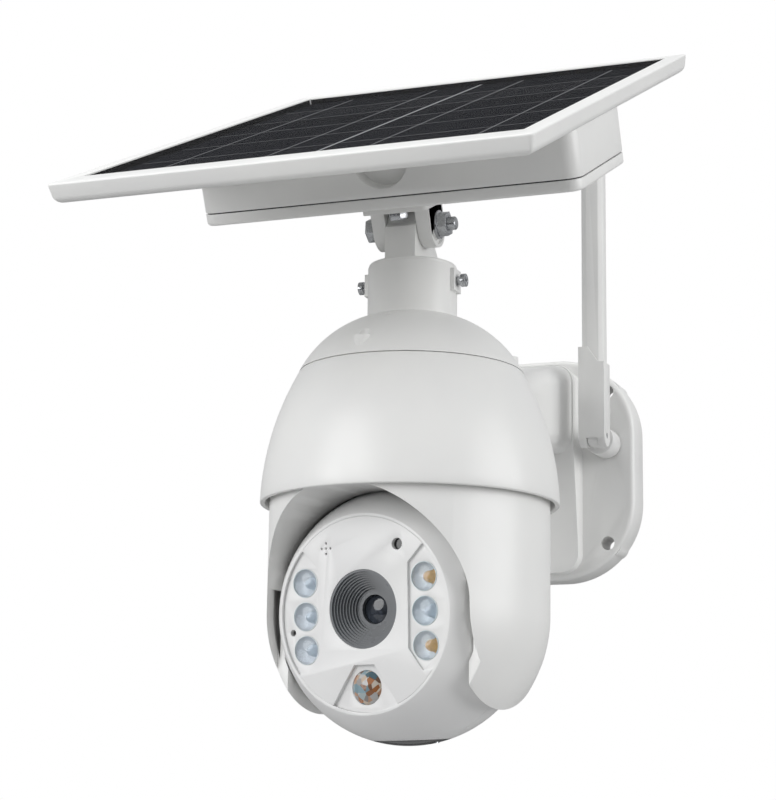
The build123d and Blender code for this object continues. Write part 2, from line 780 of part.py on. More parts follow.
lens_axis = Axis((0, 0, lens_height), (0, 1, 0))
lens_section = sideways(0.0, z=lens_height)
ring_steps = 9

with BuildPart() as lens_hood:
    with BuildSketch(lens_section):
        with BuildLine():
            stair = [(ball_front + 0.3, lens_window_radius - 0.9)]
            for step in range(ring_steps):
                share = (step + 1) / ring_steps
                radius = lens_window_radius - 0.9 - 7.6 * share
                stair.append((stair[-1][0] + hood_depth / ring_steps, stair[-1][1]))
                stair.append((stair[-1][0], radius))
            Polyline(*stair,
                     (ball_front + hood_depth + 2.5, stair[-1][1]),
                     (ball_front + hood_depth + 2.5, lens_window_radius + 1.6),
                     (ball_front + face_thickness + 1.0, lens_window_radius + 1.6),
                     (ball_front + face_thickness + 1.0, lens_window_radius),
                     (ball_front + 0.3, lens_window_radius),
                     close=True)
        make_face()
    revolve(axis=lens_axis)
save(lens_hood, "lens_hood", ball_frame)

barrel_radius = lens_window_radius - 8.5
with BuildPart() as lens_barrel:
    with BuildSketch(upright(barrel_front, z=lens_height)):
        Circle(radius=barrel_radius)
        Circle(radius=6.2, mode=Mode.SUBTRACT)
    extrude(amount=-18.0)
save(lens_barrel, "lens_barrel", ball_frame)

with BuildPart() as lens_elements:
    with BuildSketch(lens_section):
        with BuildLine():
            front = crown(barrel_front + 2.2, 6.2, barrel_front + 0.4)
            Polyline(front @ 1, (barrel_front + 5.0, 0), (barrel_front + 5.0, 6.2), front @ 0)
        make_face()
        with Locations((barrel_front + 13.0, 3.1)):
            Rectangle(4.0, 6.2)
    revolve(axis=lens_axis)
save(lens_elements, "lens_elements", ball_frame)

with BuildPart() as camera_board:
    with BuildSketch(upright(camera_board_y, z=lens_height)):
        RectangleRounded(38.0, 38.0, 2.0)
    extrude(amount=-1.6)
    # the moulded holder that the lens screws into
    with BuildSketch(upright(camera_board_y, z=lens_height)):
        RectangleRounded(22.0, 22.0, 2.0)
        Circle(radius=barrel_radius, mode=Mode.SUBTRACT)
    extrude(amount=10.5)
save(camera_board, "camera_board", ball_frame)

lamp_back = ball_front + face_depth
lamp_flange = 1.6
led_board_y = lamp_back + lamp_flange + 1.0
with BuildPart() as led_boards:
    for side in (-1, 1):
        with BuildSketch(upright(led_board_y, x=side * led_x)):
            RectangleRounded(14.0, 2 * led_pitch + 14.0, 1.5)
        extrude(amount=-1.2)
    with BuildSketch(upright(led_board_y)):
        with Locations(*led_spots):
            Rectangle(3.5, 3.5)
    extrude(amount=1.0)
save(led_boards, "led_boards", ball_frame)

with BuildPart() as lamp_lenses:
    lamp_rim = led_radius - 0.3
    for x, z in led_spots:
        with BuildSketch(sideways(x, z=z)):
            with BuildLine():
                front = crown(ball_front + 3.6, lamp_rim, ball_front + 1.0)
                Polyline(
                    front @ 1, (lamp_back + lamp_flange, 0), (lamp_back + lamp_flange, lamp_rim + 0.9),
                    (lamp_back, lamp_rim + 0.9), (lamp_back, lamp_rim), front @ 0)
            make_face()
        revolve(axis=Axis((x, 0, z), (0, 1, 0)))
save(lamp_lenses, "lamp_lenses", ball_frame)

with BuildPart() as pir_lens:
    pir_base = ball_front + 2.0
    with BuildSketch(sideways(0.0, z=-pir_drop)):
        with BuildLine():
            skin = crown(pir_base, pir_radius - 0.1, pir_base - 3.8)
            under = crown(pir_base + 0.6, pir_radius - 1.1, pir_base - 2.8)
            Line(skin @ 1, under @ 1)
            Polyline(skin @ 0, (lamp_back, pir_radius - 0.1), (lamp_back, pir_radius + 1.4),
                     (lamp_back + 1.2, pir_radius + 1.4), (lamp_back + 1.2, pir_radius - 1.1), under @ 0)
        make_face()
    revolve(axis=Axis((0, 0, -pir_drop), (0, 1, 0)))
save(pir_lens, "pir_lens", ball_frame)

with BuildPart() as pir_sensor:
    with BuildSketch(upright(lamp_back + 1.2, z=-pir_drop)):
        Circle(radius=4.6)
    extrude(amount=3.0)
    with BuildSketch(upright(lamp_back + 1.2, z=-pir_drop)):
        Rectangle(18.0, 10.0)
    extrude(amount=-1.2)
save(pir_sensor, "pir_sensor", ball_frame)

with BuildPart() as microphone:
    with BuildSketch(upright(lamp_back, x=-ear_x, z=ear_height)):
        Circle(radius=3.0)
    extrude(amount=-2.5)
save(microphone, "microphone", ball_frame)

with BuildPart() as light_sensor:
    with BuildSketch(upright(ball_front + 2.0, x=ear_x, z=ear_height)):
        Circle(radius=2.4)
    extrude(amount=-4.5)
    with BuildSketch(upright(lamp_back, x=ear_x, z=ear_height)):
        Circle(radius=3.6)
    extrude(amount=-1.0)
save(light_sensor, "light_sensor", ball_frame)

with BuildPart() as main_board:
    with BuildSketch(upright(main_board_back, x=main_board_x, z=main_board_z)):
        RectangleRounded(main_board_width, main_board_height, 2.0)
    extrude(amount=1.6)
    with BuildSketch(upright(main_board_back - 1.6, x=main_board_x, z=main_board_z)):
        with Locations((-6, 4)):
            Rectangle(14, 14)
        with Locations((12, -12)):
            Rectangle(9, 8)
    extrude(amount=1.4)
    # standoffs that reach the inside of the ball
    for x, z in board_post_spots:
        with BuildSketch(upright(main_board_back, x=x, z=z)):
            Circle(radius=1.8)
        extrude(amount=main_board_back - math.sqrt(ball_inside**2 - (abs(x) + 1.8) ** 2 - (abs(z) + 1.8) ** 2))
save(main_board, "main_board", ball_frame)

with BuildPart() as loudspeaker:
    with BuildSketch(upright(speaker_front)):
        Circle(radius=speaker_radius)
    extrude(amount=5.0)
    with BuildSketch(upright(speaker_front - 5.0)):
        Circle(radius=8.0)
    extrude(amount=4.0)
save(loudspeaker, "loudspeaker", ball_frame)

with BuildPart() as tilt_motor:
    with BuildSketch(sideways(tilt_gear_x - 2.0, y=tilt_motor_distance)):
        Circle(radius=11.5)
    extrude(amount=-15.0)
    with BuildSketch(sideways(tilt_gear_x - 2.0, y=tilt_motor_distance)):
        SlotCenterToCenter(31.0, 6.0, rotation=90)
    extrude(amount=-1.2)
save(tilt_motor, "tilt_motor", ball_frame)

tilt_mesh_plane = sideways(tilt_gear_x - 0.6, y=tilt_motor_distance)
with BuildPart() as tilt_pinion:
    with BuildSketch(tilt_mesh_plane):
        toothed(pinion_teeth, mesh_phase(tilt_gear_teeth, -tilt_rest))
    extrude(amount=gear_width + 1.2)
save(tilt_pinion, "tilt_pinion", ball_frame)

with BuildPart() as tilt_bushes:
    for side in (-1, 1):
        with BuildSketch(sideways(side * (ball_half_width + 0.3))):
            Circle(radius=trunnion_radius + 2.0)
            Circle(radius=trunnion_radius + run_gap, mode=Mode.SUBTRACT)
        extrude(amount=-side * (ball_wall + 0.3))
        with BuildSketch(sideways(side * (ball_half_width - ball_wall))):
            Circle(radius=trunnion_radius + 4.0)
            Circle(radius=trunnion_radius + run_gap, mode=Mode.SUBTRACT)
        extrude(amount=-side * 1.4)
save(tilt_bushes, "tilt_bushes", ball_frame)

# service bay at the bottom of the ball: cover, seal, card slot and reset button
cover_wall = 1.6
cover_screw_spots = ((-11.0, 0.0), (11.0, 0.0))
cover_screw_seat = -53.5
bay_wall_outer = cover_radius - 1.4
bay_wall_inner = bay_wall_outer - 1.6
bay_wall_foot = -50.5
bay_ceiling = -40.0
service_board_thickness = 1.6
switch_face = bay_ceiling - service_board_thickness - 3.2
button_spot = (0.0, -7.0)
button_radius = 1.8
button_travel = 0.4

with BuildPart() as service_cover:
    Sphere(radius=ball_radius)
    Sphere(radius=ball_radius - cover_wall, mode=Mode.SUBTRACT)
    with BuildSketch(level(0.0)):
        Circle(radius=cover_radius)
    extrude(amount=-ball_radius - 1.0, mode=Mode.INTERSECT)
    with BuildSketch(level(cover_screw_seat)):
        with Locations(*cover_screw_spots):
            Circle(radius=2.4)
    extrude(amount=-5.0, mode=Mode.SUBTRACT)
    with BuildSketch(level(-20.0)):
        with Locations(*cover_screw_spots):
            Circle(radius=1.3)
    extrude(amount=-60.0, mode=Mode.SUBTRACT)
save(service_cover, "service_cover", ball_frame)

with BuildPart() as service_bay:
    with BuildSketch(level(bay_wall_foot)):
        Circle(radius=bay_wall_outer)
        Circle(radius=bay_wall_inner, mode=Mode.SUBTRACT)
    extrude(amount=bay_ceiling - bay_wall_foot + 1.5)
    with BuildSketch(level(bay_ceiling)):
        Circle(radius=bay_wall_outer)
    extrude(amount=1.5)
    # flange that rests on the inside of the ball
    with BuildSketch(level(-math.sqrt(ball_inside**2 - (cover_radius + 2.0) ** 2))):
        Circle(radius=cover_radius + 2.0)
        Circle(radius=bay_wall_outer - 0.5, mode=Mode.SUBTRACT)
    extrude(amount=2.0)
    with BuildSketch(level(cover_screw_seat + 1.3)):
        with Locations(*cover_screw_spots):
            Circle(radius=2.2)
    extrude(amount=bay_ceiling - cover_screw_seat - 1.3)
    with BuildSketch(level(cover_screw_seat)):
        with Locations(*cover_screw_spots):
            Circle(radius=1.0)
    extrude(amount=9.6, mode=Mode.SUBTRACT)
save(service_bay, "service_bay", ball_frame)

with BuildPart() as cover_seal:
    seal_foot = -math.sqrt((ball_radius - cover_wall) ** 2 - bay_wall_outer**2)
    with BuildSketch(level(seal_foot)):
        Circle(radius=bay_wall_outer)
        Circle(radius=bay_wall_inner, mode=Mode.SUBTRACT)
    extrude(amount=bay_wall_foot - seal_foot)
save(cover_seal, "cover_seal", ball_frame)

with BuildPart() as cover_screws:
    with BuildSketch(level(cover_screw_seat)):
        with Locations(*cover_screw_spots):
            Circle(radius=2.1)
    extrude(amount=-0.9)
    with BuildSketch(level(cover_screw_seat - 0.4)):
        with Locations(*cover_screw_spots):
            Rectangle(2.6, 0.6)
            Rectangle(0.6, 2.6)
    extrude(amount=-1.0, mode=Mode.SUBTRACT)
    with BuildSketch(level(cover_screw_seat)):
        with Locations(*cover_screw_spots):
            Circle(radius=1.0)
    extrude(amount=9.4)
save(cover_screws, "cover_screws", ball_frame)

with BuildPart() as service_board:
    with BuildSketch(level(bay_ceiling - service_board_thickness)):
        Circle(radius=bay_wall_inner - 0.3)
        with Locations(*cover_screw_spots):
            Circle(radius=2.4, mode=Mode.SUBTRACT)
    extrude(amount=service_board_thickness)
    # card socket and button switch
    with BuildSketch(level(bay_ceiling - service_board_thickness)):
        with Locations((0, 4.0)):
            Rectangle(12.0, 11.0)
    extrude(amount=-1.6)
    with BuildSketch(level(switch_face)):
        with Locations(button_spot):
            Rectangle(6.0, 6.0)
            Circle(radius=button_radius + run_gap, mode=Mode.SUBTRACT)
    extrude(amount=2.0)
    with BuildSketch(level(switch_face + 2.0)):
        with Locations(button_spot):
            Rectangle(6.0, 6.0)
    extrude(amount=1.2)
save(service_board, "service_board", ball_frame)

with BuildPart() as reset_button:
    with BuildSketch(level(switch_face - 1.5)):
        with Locations(button_spot):
            Circle(radius=button_radius)
    extrude(amount=1.5 + 2.0 - button_travel - 0.2)
save(reset_button, "reset_button", ball_frame)

# =============================== neck adapter, on the dome's axis ===============================

spigot_radius = neck_radius - neck_wall - 0.08
with BuildPart() as neck_adapter:
    with BuildSketch(level(cap_top + 3.0)):
        Circle(radius=spigot_radius)
        Circle(radius=11.0, mode=Mode.SUBTRACT)
    extrude(amount=neck_height - 3.0)
    with BuildSketch(level(neck_top)):
        Circle(radius=neck_radius - 0.3)
    extrude(amount=1.6)
    fillet(neck_adapter.edges().filter_by(GeomType.CIRCLE).sort_by(Axis.Z)[-1:], radius=0.9)
    with BuildSketch(sideways(-tongue_width / 2)):
        Polygon(
            (-16.5, neck_top + 1.0), (-16.5, hinge_level - 2.5), (-14.0, hinge_level),
            (2.6, hinge_level), (17.5, neck_top + 4.5), (17.5, neck_top + 1.0), align=None)
        with Locations((-hinge_forward, hinge_level)):
            Circle(radius=8.4)
    extrude(amount=tongue_width)
    with BuildSketch(sideways(-tongue_width / 2 - 1.0)):
        with Locations((-hinge_forward, hinge_level)):
            Circle(radius=hinge_bolt_radius + run_gap)
    extrude(amount=tongue_width + 2.0, mode=Mode.SUBTRACT)
save(neck_adapter, "neck_adapter", neck_frame)

# =============================== clevis, about the hinge axis ===============================

ear_inner = tongue_width / 2 + ear_gap
ear_outer = ear_inner + ear_thickness
plate_low = box_bottom - clevis_plate
clevis_bolt_spots = ((0.0, -clevis_bolt_offset), (0.0, clevis_bolt_offset))

with BuildPart() as clevis:
    with BuildSketch(level(plate_low)):
        RectangleRounded(2 * ear_outer + 3.0, clevis_length, 2.5)
    extrude(amount=clevis_plate)
    for side in (-1, 1):
        with BuildSketch(sideways(side * ear_inner)):
            Circle(radius=ear_radius)
            with Locations((0, plate_low / 2 + 0.5)):
                Rectangle(2 * ear_radius, plate_low + 1.0)
        extrude(amount=side * ear_thickness)
        # the rim that stiffens each ear's outer face
        with BuildSketch(sideways(side * ear_outer)):
            Circle(radius=ear_radius - 1.6)
            with Locations((0, plate_low / 2 + 2.0)):
                Rectangle(2 * ear_radius - 3.2, plate_low + 4.0)
            Circle(radius=6.8, mode=Mode.SUBTRACT)
            with Locations((0, plate_low)):
                Rectangle(40.0, 0.01, mode=Mode.SUBTRACT)
        extrude(amount=-side * 1.2, mode=Mode.SUBTRACT)
    with BuildSketch(sideways(-ear_outer - 1.0)):
        Circle(radius=hinge_bolt_radius)
    extrude(amount=2 * ear_outer + 2.0, mode=Mode.SUBTRACT)
    with BuildSketch(level(plate_low - 1.0)):
        with Locations(*clevis_bolt_spots):
            Circle(radius=2.5)
    extrude(amount=clevis_plate + 2.0, mode=Mode.SUBTRACT)
save(clevis, "clevis", panel_frame_pose)

with BuildPart() as clevis_bolts:
    with BuildSketch(level(plate_low)):
        with Locations(*clevis_bolt_spots):
            RegularPolygon(radius=4.62, side_count=6)
    extrude(amount=-3.5)
    chamfer(clevis_bolts.faces().sort_by(Axis.Z)[:2].edges(), length=0.4)
    with BuildSketch(level(plate_low)):
        with Locations(*clevis_bolt_spots):
            Circle(radius=2.5)
    extrude(amount=clevis_plate + 5.5)
save(clevis_bolts, "clevis_bolts", panel_frame_pose)

washer_thickness = 1.4
bolt_seat = ear_outer + washer_thickness
with BuildPart() as hinge_nut_and_washers:
    for side in (-1, 1):
        with BuildSketch(sideways(side * ear_outer)):
            Circle(radius=6.4)
            Circle(radius=hinge_bolt_radius, mode=Mode.SUBTRACT)
        extrude(amount=side * washer_thickness)
    with BuildSketch(sideways(bolt_seat)):
        RegularPolygon(radius=5.77, side_count=6)
        Circle(radius=hinge_bolt_radius, mode=Mode.SUBTRACT)
    extrude(amount=4.0)
save(hinge_nut_and_washers, "hinge_nut_and_washers", panel_frame_pose)

with BuildPart() as hinge_bolt:
    with BuildSketch(sideways(-bolt_seat)):
        RegularPolygon(radius=5.77, side_count=6)
    extrude(amount=-4.2)
    chamfer(hinge_bolt.faces().sort_by(Axis.X)[0].edges(), length=0.5)
    with BuildSketch(sideways(-bolt_seat)):
        Circle(radius=hinge_bolt_radius)
    extrude(amount=2 * bolt_seat + 7.5)
    chamfer(hinge_bolt.faces().sort_by(Axis.X)[-1].edges(), length=0.6)
save(hinge_bolt, "hinge_bolt", panel_frame_pose)

# =============================== battery box, about the hinge axis ===============================

box_middle = box_front + box_length / 2
seam_height = box_bottom + box_seam
cell_row_pitch = 2 * battery_radius + 0.6
battery_middle = box_middle + 4.0
box_screw_inset = 6.0      # from the box's sides
box_boss_radius = 4.0
box_screw_x = box_width / 2 - box_screw_inset
battery_centre_x = -(box_screw_x - box_boss_radius - battery_length - 1.0)
battery_level = box_bottom + 6.6 + battery_radius
box_screw_spots = [
    (side * box_screw_x, box_middle + end * (box_length / 2 - box_screw_inset))
    for side in (-1, 1) for end in (-1, 1)]


def box_outline(inset):
    RectangleRounded(box_width - 2 * inset, box_length - 2 * inset, box_corner - inset)


with BuildPart() as box_lower_cover:
    with BuildSketch(level(box_bottom, y=box_middle)):
        box_outline(0.0)
    extrude(amount=box_seam)
    fillet(box_lower_cover.edges().group_by(Axis.Z)[0], radius=1.5)
    with BuildSketch(level(box_bottom + box_wall, y=box_middle)):
        box_outline(box_wall)
    extrude(amount=box_seam, mode=Mode.SUBTRACT)
    with BuildSketch(level(box_bottom + box_wall - 0.5)):
        Rectangle(34.0, clevis_length)
        with Locations(*box_screw_spots):
            Circle(radius=box_boss_radius)
    extrude(amount=3.5 - 0.8)
    # ribs that cradle the two rows of battery cells
    with BuildSketch(level(box_bottom + box_wall - 0.5, y=battery_middle)):
        with Locations(*[(battery_centre_x + x, 0) for x in (-54.0, -20.0, 20.0, 54.0)]):
            Rectangle(3.0, 3 * cell_row_pitch - 1.0)
    extrude(amount=8.0)
    with BuildSketch(sideways(-box_width / 2 + 5.0, y=battery_middle, z=battery_level)):
        with GridLocations(cell_row_pitch, 1.0, 3, 1):
            Circle(radius=battery_radius)
    extrude(amount=box_width - 10.0, mode=Mode.SUBTRACT)
    with BuildSketch(level(box_bottom - 1.0)):
        with Locations(*clevis_bolt_spots):
            Circle(radius=2.5)
        with Locations(*box_screw_spots):
            Circle(radius=1.5)
    extrude(amount=10.0, mode=Mode.SUBTRACT)
    with BuildSketch(level(box_bottom - 1.0)):
        with Locations(*box_screw_spots):
            Circle(radius=2.9)
    extrude(amount=3.2, mode=Mode.SUBTRACT)
save(box_lower_cover, "box_lower_cover", panel_frame_pose)

with BuildPart() as box_gasket:
    with BuildSketch(level(seam_height, y=box_middle)):
        box_outline(0.8)
        RectangleRounded(box_width - 2 * box_wall, box_length - 2 * box_wall, box_corner - box_wall, mode=Mode.SUBTRACT)
    extrude(amount=0.6)
save(box_gasket, "box_gasket", panel_frame_pose)

with BuildPart() as box_upper:
    with BuildSketch(level(seam_height + 0.6, y=box_middle)):
        box_outline(0.0)
    extrude(amount=panel_underside - seam_height - 0.6)
    with BuildSketch(level(seam_height, y=box_middle)):
        box_outline(box_wall)
    extrude(amount=panel_underside - seam_height, mode=Mode.SUBTRACT)
    # the scooped recess in the front face, with its own wall behind
    recess_low = seam_height + 3.5
    with BuildSketch(upright(box_front + 9.0)):
        with Locations((0, recess_low + 13.0)):
            Circle(radius=14.0)
        with Locations((0, (panel_underside + recess_low + 13.0) / 2)):
            Rectangle(28.0, panel_underside - recess_low - 13.0)
    extrude(amount=9.0)
    with BuildSketch(upright(box_front + 6.5)):
        with Locations((0, recess_low + 13.0)):
            Circle(radius=11.5)
        with Locations((0, (panel_underside + recess_low + 13.0) / 2 + 1.0)):
            Rectangle(23.0, panel_underside - recess_low - 11.0)
    extrude(amount=8.0, taper=-8, mode=Mode.SUBTRACT)
    with BuildSketch(level(seam_height + 0.6)):
        with Locations(*box_screw_spots):
            Circle(radius=box_boss_radius)
    extrude(amount=16.0)
    with BuildSketch(level(seam_height)):
        with Locations(*box_screw_spots):
            Circle(radius=1.2)
    extrude(amount=14.0, mode=Mode.SUBTRACT)
    with BuildSketch(level(panel_underside, y=box_middle)):
        Rectangle(2 * box_width, 2 * box_length)
    extrude(amount=panel_underside, mode=Mode.SUBTRACT)
save(box_upper, "box_upper", panel_frame_pose)

with BuildPart() as box_screws:
    with BuildSketch(level(box_bottom + 0.4)):
        with Locations(*box_screw_spots):
            Circle(radius=2.8)
            Rectangle(0.7, 3.4, mode=Mode.SUBTRACT)
            Rectangle(3.4, 0.7, mode=Mode.SUBTRACT)
    extrude(amount=1.0)
    with BuildSketch(level(box_bottom + 1.4)):
        with Locations(*box_screw_spots):
            Circle(radius=2.8)
    extrude(amount=0.8)
    with BuildSketch(level(box_bottom + 2.2)):
        with Locations(*box_screw_spots):
            Circle(radius=1.2)
    extrude(amount=15.0)
save(box_screws, "box_screws", panel_frame_pose)

with BuildPart() as battery_cells:
    for end in (-1, 1):
        middle = battery_centre_x + end * (battery_length / 2 + 0.4)
        with BuildSketch(sideways(middle - battery_length / 2, y=battery_middle, z=battery_level)):
            with GridLocations(cell_row_pitch, 1.0, 3, 1):
                Circle(radius=battery_radius)
        extrude(amount=battery_length)
save(battery_cells, "battery_cells", panel_frame_pose)

board_level = box_bottom + 11.4
with BuildPart() as charge_board:
    with BuildSketch(level(board_level, x=68.0, y=box_middle)):
        RectangleRounded(22.0, 46.0, 1.5)
    extrude(amount=1.6)
    with BuildSketch(level(board_level + 1.6, x=68.0, y=box_middle)):
        with Locations((-3, 10)):
            Rectangle(8, 8)
        with Locations((2, -10)):
            Circle(radius=4.5)
    extrude(amount=6.0)
    with BuildSketch(level(box_bottom + box_wall, x=68.0, y=box_middle)):
        with GridLocations(16.0, 38.0, 2, 2):
            Circle(radius=2.0)
    extrude(amount=board_level - box_bottom - box_wall)
save(charge_board, "charge_board", panel_frame_pose)

# =============================== solar panel, about the hinge axis ===============================

panel_top = panel_underside + panel_thickness
glass_top = panel_top - 0.5
stack_bottom = glass_top - glass_thickness - cell_thickness - 1.2

with BuildPart() as panel_tray:
    with BuildSketch(level(panel_top, y=panel_centre)):
        RectangleRounded(panel_width, panel_length, panel_corner)
    extrude(amount=-panel_thickness, taper=12)
    fillet(panel_tray.edges().group_by(Axis.Z)[-1], radius=0.8)
    fillet(panel_tray.edges().group_by(Axis.Z)[0], radius=panel_round)
    with BuildSketch(level(stack_bottom, y=glass_centre)):
        RectangleRounded(glass_width + 0.4, glass_length + 0.4, 1.0)
    extrude(amount=panel_thickness, mode=Mode.SUBTRACT)
    with BuildSketch(level(panel_underside + 2.0, y=glass_centre)):
        with GridLocations(glass_width / 2 - 4.0, glass_length / 3 - 4.0, 2, 3):
            RectangleRounded(glass_width / 2 - 7.0, glass_length / 3 - 7.0, 2.0)
    extrude(amount=panel_thickness, mode=Mode.SUBTRACT)
    with BuildSketch(level(panel_underside - 1.0)):
        with Locations(*[(x, box_middle + y) for x in (-70.0, 70.0) for y in (-26.0, 20.0)]):
            Circle(radius=1.6)
        with Locations((60.0, box_middle)):
            Circle(radius=4.0)
    extrude(amount=5.0, mode=Mode.SUBTRACT)
save(panel_tray, "panel_tray", panel_frame_pose)

with BuildPart() as panel_backsheet:
    with BuildSketch(level(stack_bottom, y=glass_centre)):
        RectangleRounded(glass_width, glass_length, 1.0)
    extrude(amount=1.2)
save(panel_backsheet, "panel_backsheet", panel_frame_pose)

cell_pitch_x = (glass_width - 6.0) / cell_columns
cell_pitch_y = (glass_length - 8.0) / cell_rows
with BuildPart() as solar_cells:
    with BuildSketch(level(stack_bottom + 1.2, y=glass_centre)):
        with GridLocations(cell_pitch_x, cell_pitch_y, cell_columns, cell_rows):
            Rectangle(cell_pitch_x - 1.6, cell_pitch_y - 1.0)
    extrude(amount=cell_thickness)
save(solar_cells, "solar_cells", panel_frame_pose)

with BuildPart() as panel_glass:
    with BuildSketch(level(glass_top - glass_thickness, y=glass_centre)):
        RectangleRounded(glass_width, glass_length, 1.0)
    extrude(amount=glass_thickness)
save(panel_glass, "panel_glass", panel_frame_pose)

# =============================== antenna on the wall plate ===============================

with BuildPart() as antenna_socket:
    with BuildSketch(upright(-plate_depth + plate_wall, x=antenna_x, z=antenna_z)):
        RegularPolygon(radius=5.0, side_count=6)
    extrude(amount=-2.0)
    with BuildSketch(upright(-plate_depth + plate_wall + 6.0, x=antenna_x, z=antenna_z)):
        Circle(radius=3.2)
    extrude(amount=9.0 + 6.0)
save(antenna_socket, "antenna_socket")

with BuildPart() as antenna_knob:
    with BuildSketch(upright(-plate_depth - turn_gap, x=antenna_x, z=antenna_z)):
        Circle(radius=knob_radius)
        Circle(radius=3.2 + run_gap, mode=Mode.SUBTRACT)
    extrude(amount=7.0)
    with BuildSketch(upright(-plate_depth - turn_gap - 6.5, x=antenna_x, z=antenna_z)):
        Circle(radius=knob_radius)
    extrude(amount=8.5)
    with BuildSketch(sideways(antenna_x - 2.6)):
        with Locations((-antenna_forward, antenna_z)):
            Circle(radius=4.6)
        with Locations((-antenna_forward + 5.0, antenna_z)):
            Rectangle(10.0, 9.2)
    extrude(amount=5.2)
    with BuildSketch(sideways(antenna_x - 10.0)):
        with Locations((-antenna_forward, antenna_z)):
            Circle(radius=antenna_pin_radius + run_gap)
    extrude(amount=20.0, mode=Mode.SUBTRACT)
save(antenna_knob, "antenna_knob")

sleeve_bottom = antenna_z - sleeve_depth / 2
with BuildPart() as antenna_mast:
    # sleeve with a round foot and a slanted top
    with BuildSketch(sideways(antenna_x - sleeve_width / 2)):
        with Locations((-antenna_forward, antenna_z)):
            Circle(radius=sleeve_depth / 2)
        with Locations((-antenna_forward, antenna_z + sleeve_height / 2)):
            Rectangle(sleeve_depth, sleeve_height)
    extrude(amount=sleeve_width)
    with BuildSketch(upright(-antenna_forward + 20.0)):
        with BuildLine():
            Polyline(
                (antenna_x - sleeve_width, antenna_z + sleeve_height - 3.0),
                (antenna_x - 2.0, antenna_z + sleeve_height - 3.0),
                (antenna_x + 3.4, antenna_z + sleeve_height - 11.0),
                (antenna_x + sleeve_width, antenna_z + sleeve_height - 11.0),
                (antenna_x + sleeve_width, antenna_z + sleeve_height + 5.0),
                (antenna_x - sleeve_width, antenna_z + sleeve_height + 5.0),
                close=True,
            )
        make_face()
    extrude(amount=40.0, mode=Mode.SUBTRACT)
    # the blade, a flat bar with bevelled front corners
    with BuildSketch(level(antenna_z + 12.0, x=antenna_x, y=-antenna_forward)):
        Polygon((-5.6, 4.2), (-5.6, -2.0), (-2.6, -4.4), (3.6, -4.4), (5.6, -2.8), (5.6, 4.2), align=None)
    extrude(amount=antenna_length - 12.0 - sleeve_depth / 2)
    # slot for the knob's tongue
    with BuildSketch(sideways(antenna_x - 2.9)):
        with Locations((-antenna_forward, antenna_z)):
            Circle(radius=5.2)
        with Locations((-antenna_forward + 5.0, antenna_z - 0.4)):
            Rectangle(10.0, 10.8)
        with Locations((-antenna_forward, antenna_z - 5.0)):
            Rectangle(10.4, 10.0)
    extrude(amount=5.8, mode=Mode.SUBTRACT)
    with BuildSketch(sideways(antenna_x - 10.0)):
        with Locations((-antenna_forward, antenna_z)):
            Circle(radius=antenna_pin_radius)
    extrude(amount=20.0, mode=Mode.SUBTRACT)
save(antenna_mast, "antenna_mast")

with BuildPart() as antenna_pin:
    with BuildSketch(sideways(antenna_x - sleeve_width / 2 + 0.2)):
        with Locations((-antenna_forward, antenna_z)):
            Circle(radius=antenna_pin_radius)
    extrude(amount=sleeve_width - 0.4)
save(antenna_pin, "antenna_pin")
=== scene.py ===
import json
import math

import bpy
from mathutils import Matrix, Vector


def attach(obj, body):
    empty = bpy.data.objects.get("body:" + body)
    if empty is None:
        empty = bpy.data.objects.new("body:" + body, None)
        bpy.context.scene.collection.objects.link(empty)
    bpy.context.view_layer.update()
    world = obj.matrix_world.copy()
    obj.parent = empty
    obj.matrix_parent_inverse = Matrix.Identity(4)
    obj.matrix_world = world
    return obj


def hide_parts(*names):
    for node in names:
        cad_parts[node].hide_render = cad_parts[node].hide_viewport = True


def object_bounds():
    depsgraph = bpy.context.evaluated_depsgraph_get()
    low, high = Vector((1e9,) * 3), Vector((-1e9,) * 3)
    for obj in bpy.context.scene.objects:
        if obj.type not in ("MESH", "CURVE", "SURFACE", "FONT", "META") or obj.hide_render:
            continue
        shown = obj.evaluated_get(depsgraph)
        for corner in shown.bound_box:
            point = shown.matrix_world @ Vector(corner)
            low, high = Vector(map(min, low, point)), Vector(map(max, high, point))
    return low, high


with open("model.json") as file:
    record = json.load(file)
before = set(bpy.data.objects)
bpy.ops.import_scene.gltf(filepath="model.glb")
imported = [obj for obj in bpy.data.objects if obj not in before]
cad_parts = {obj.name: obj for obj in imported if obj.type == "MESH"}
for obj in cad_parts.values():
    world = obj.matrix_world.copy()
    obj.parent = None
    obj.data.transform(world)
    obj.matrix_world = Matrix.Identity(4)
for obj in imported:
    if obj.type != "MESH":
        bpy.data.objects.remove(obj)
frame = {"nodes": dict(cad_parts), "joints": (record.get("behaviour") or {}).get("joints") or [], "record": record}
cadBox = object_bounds()
nodes = frame["nodes"]
bpy.ops.object.select_all(action="DESELECT")
mm = 0.001

rest = {"pan": -11.0, "tilt": 4.5, "panelTilt": 25.7}      # degrees that the two tilted groups stand turned
hinge = {joint["name"]: Vector(joint["pos_m"]) for joint in frame["joints"] if "pos_m" in joint}


def turned(degrees, axis):
    return Matrix.Rotation(math.radians(degrees), 4, axis)


ballPose = Matrix.Translation(hinge["tilt"]) @ turned(rest["pan"], "Z") @ turned(rest["tilt"], "X")
panelPose = Matrix.Translation(hinge["panel_tilt"]) @ turned(rest["panelTilt"], "X")


# ---- camera, light and floor ----

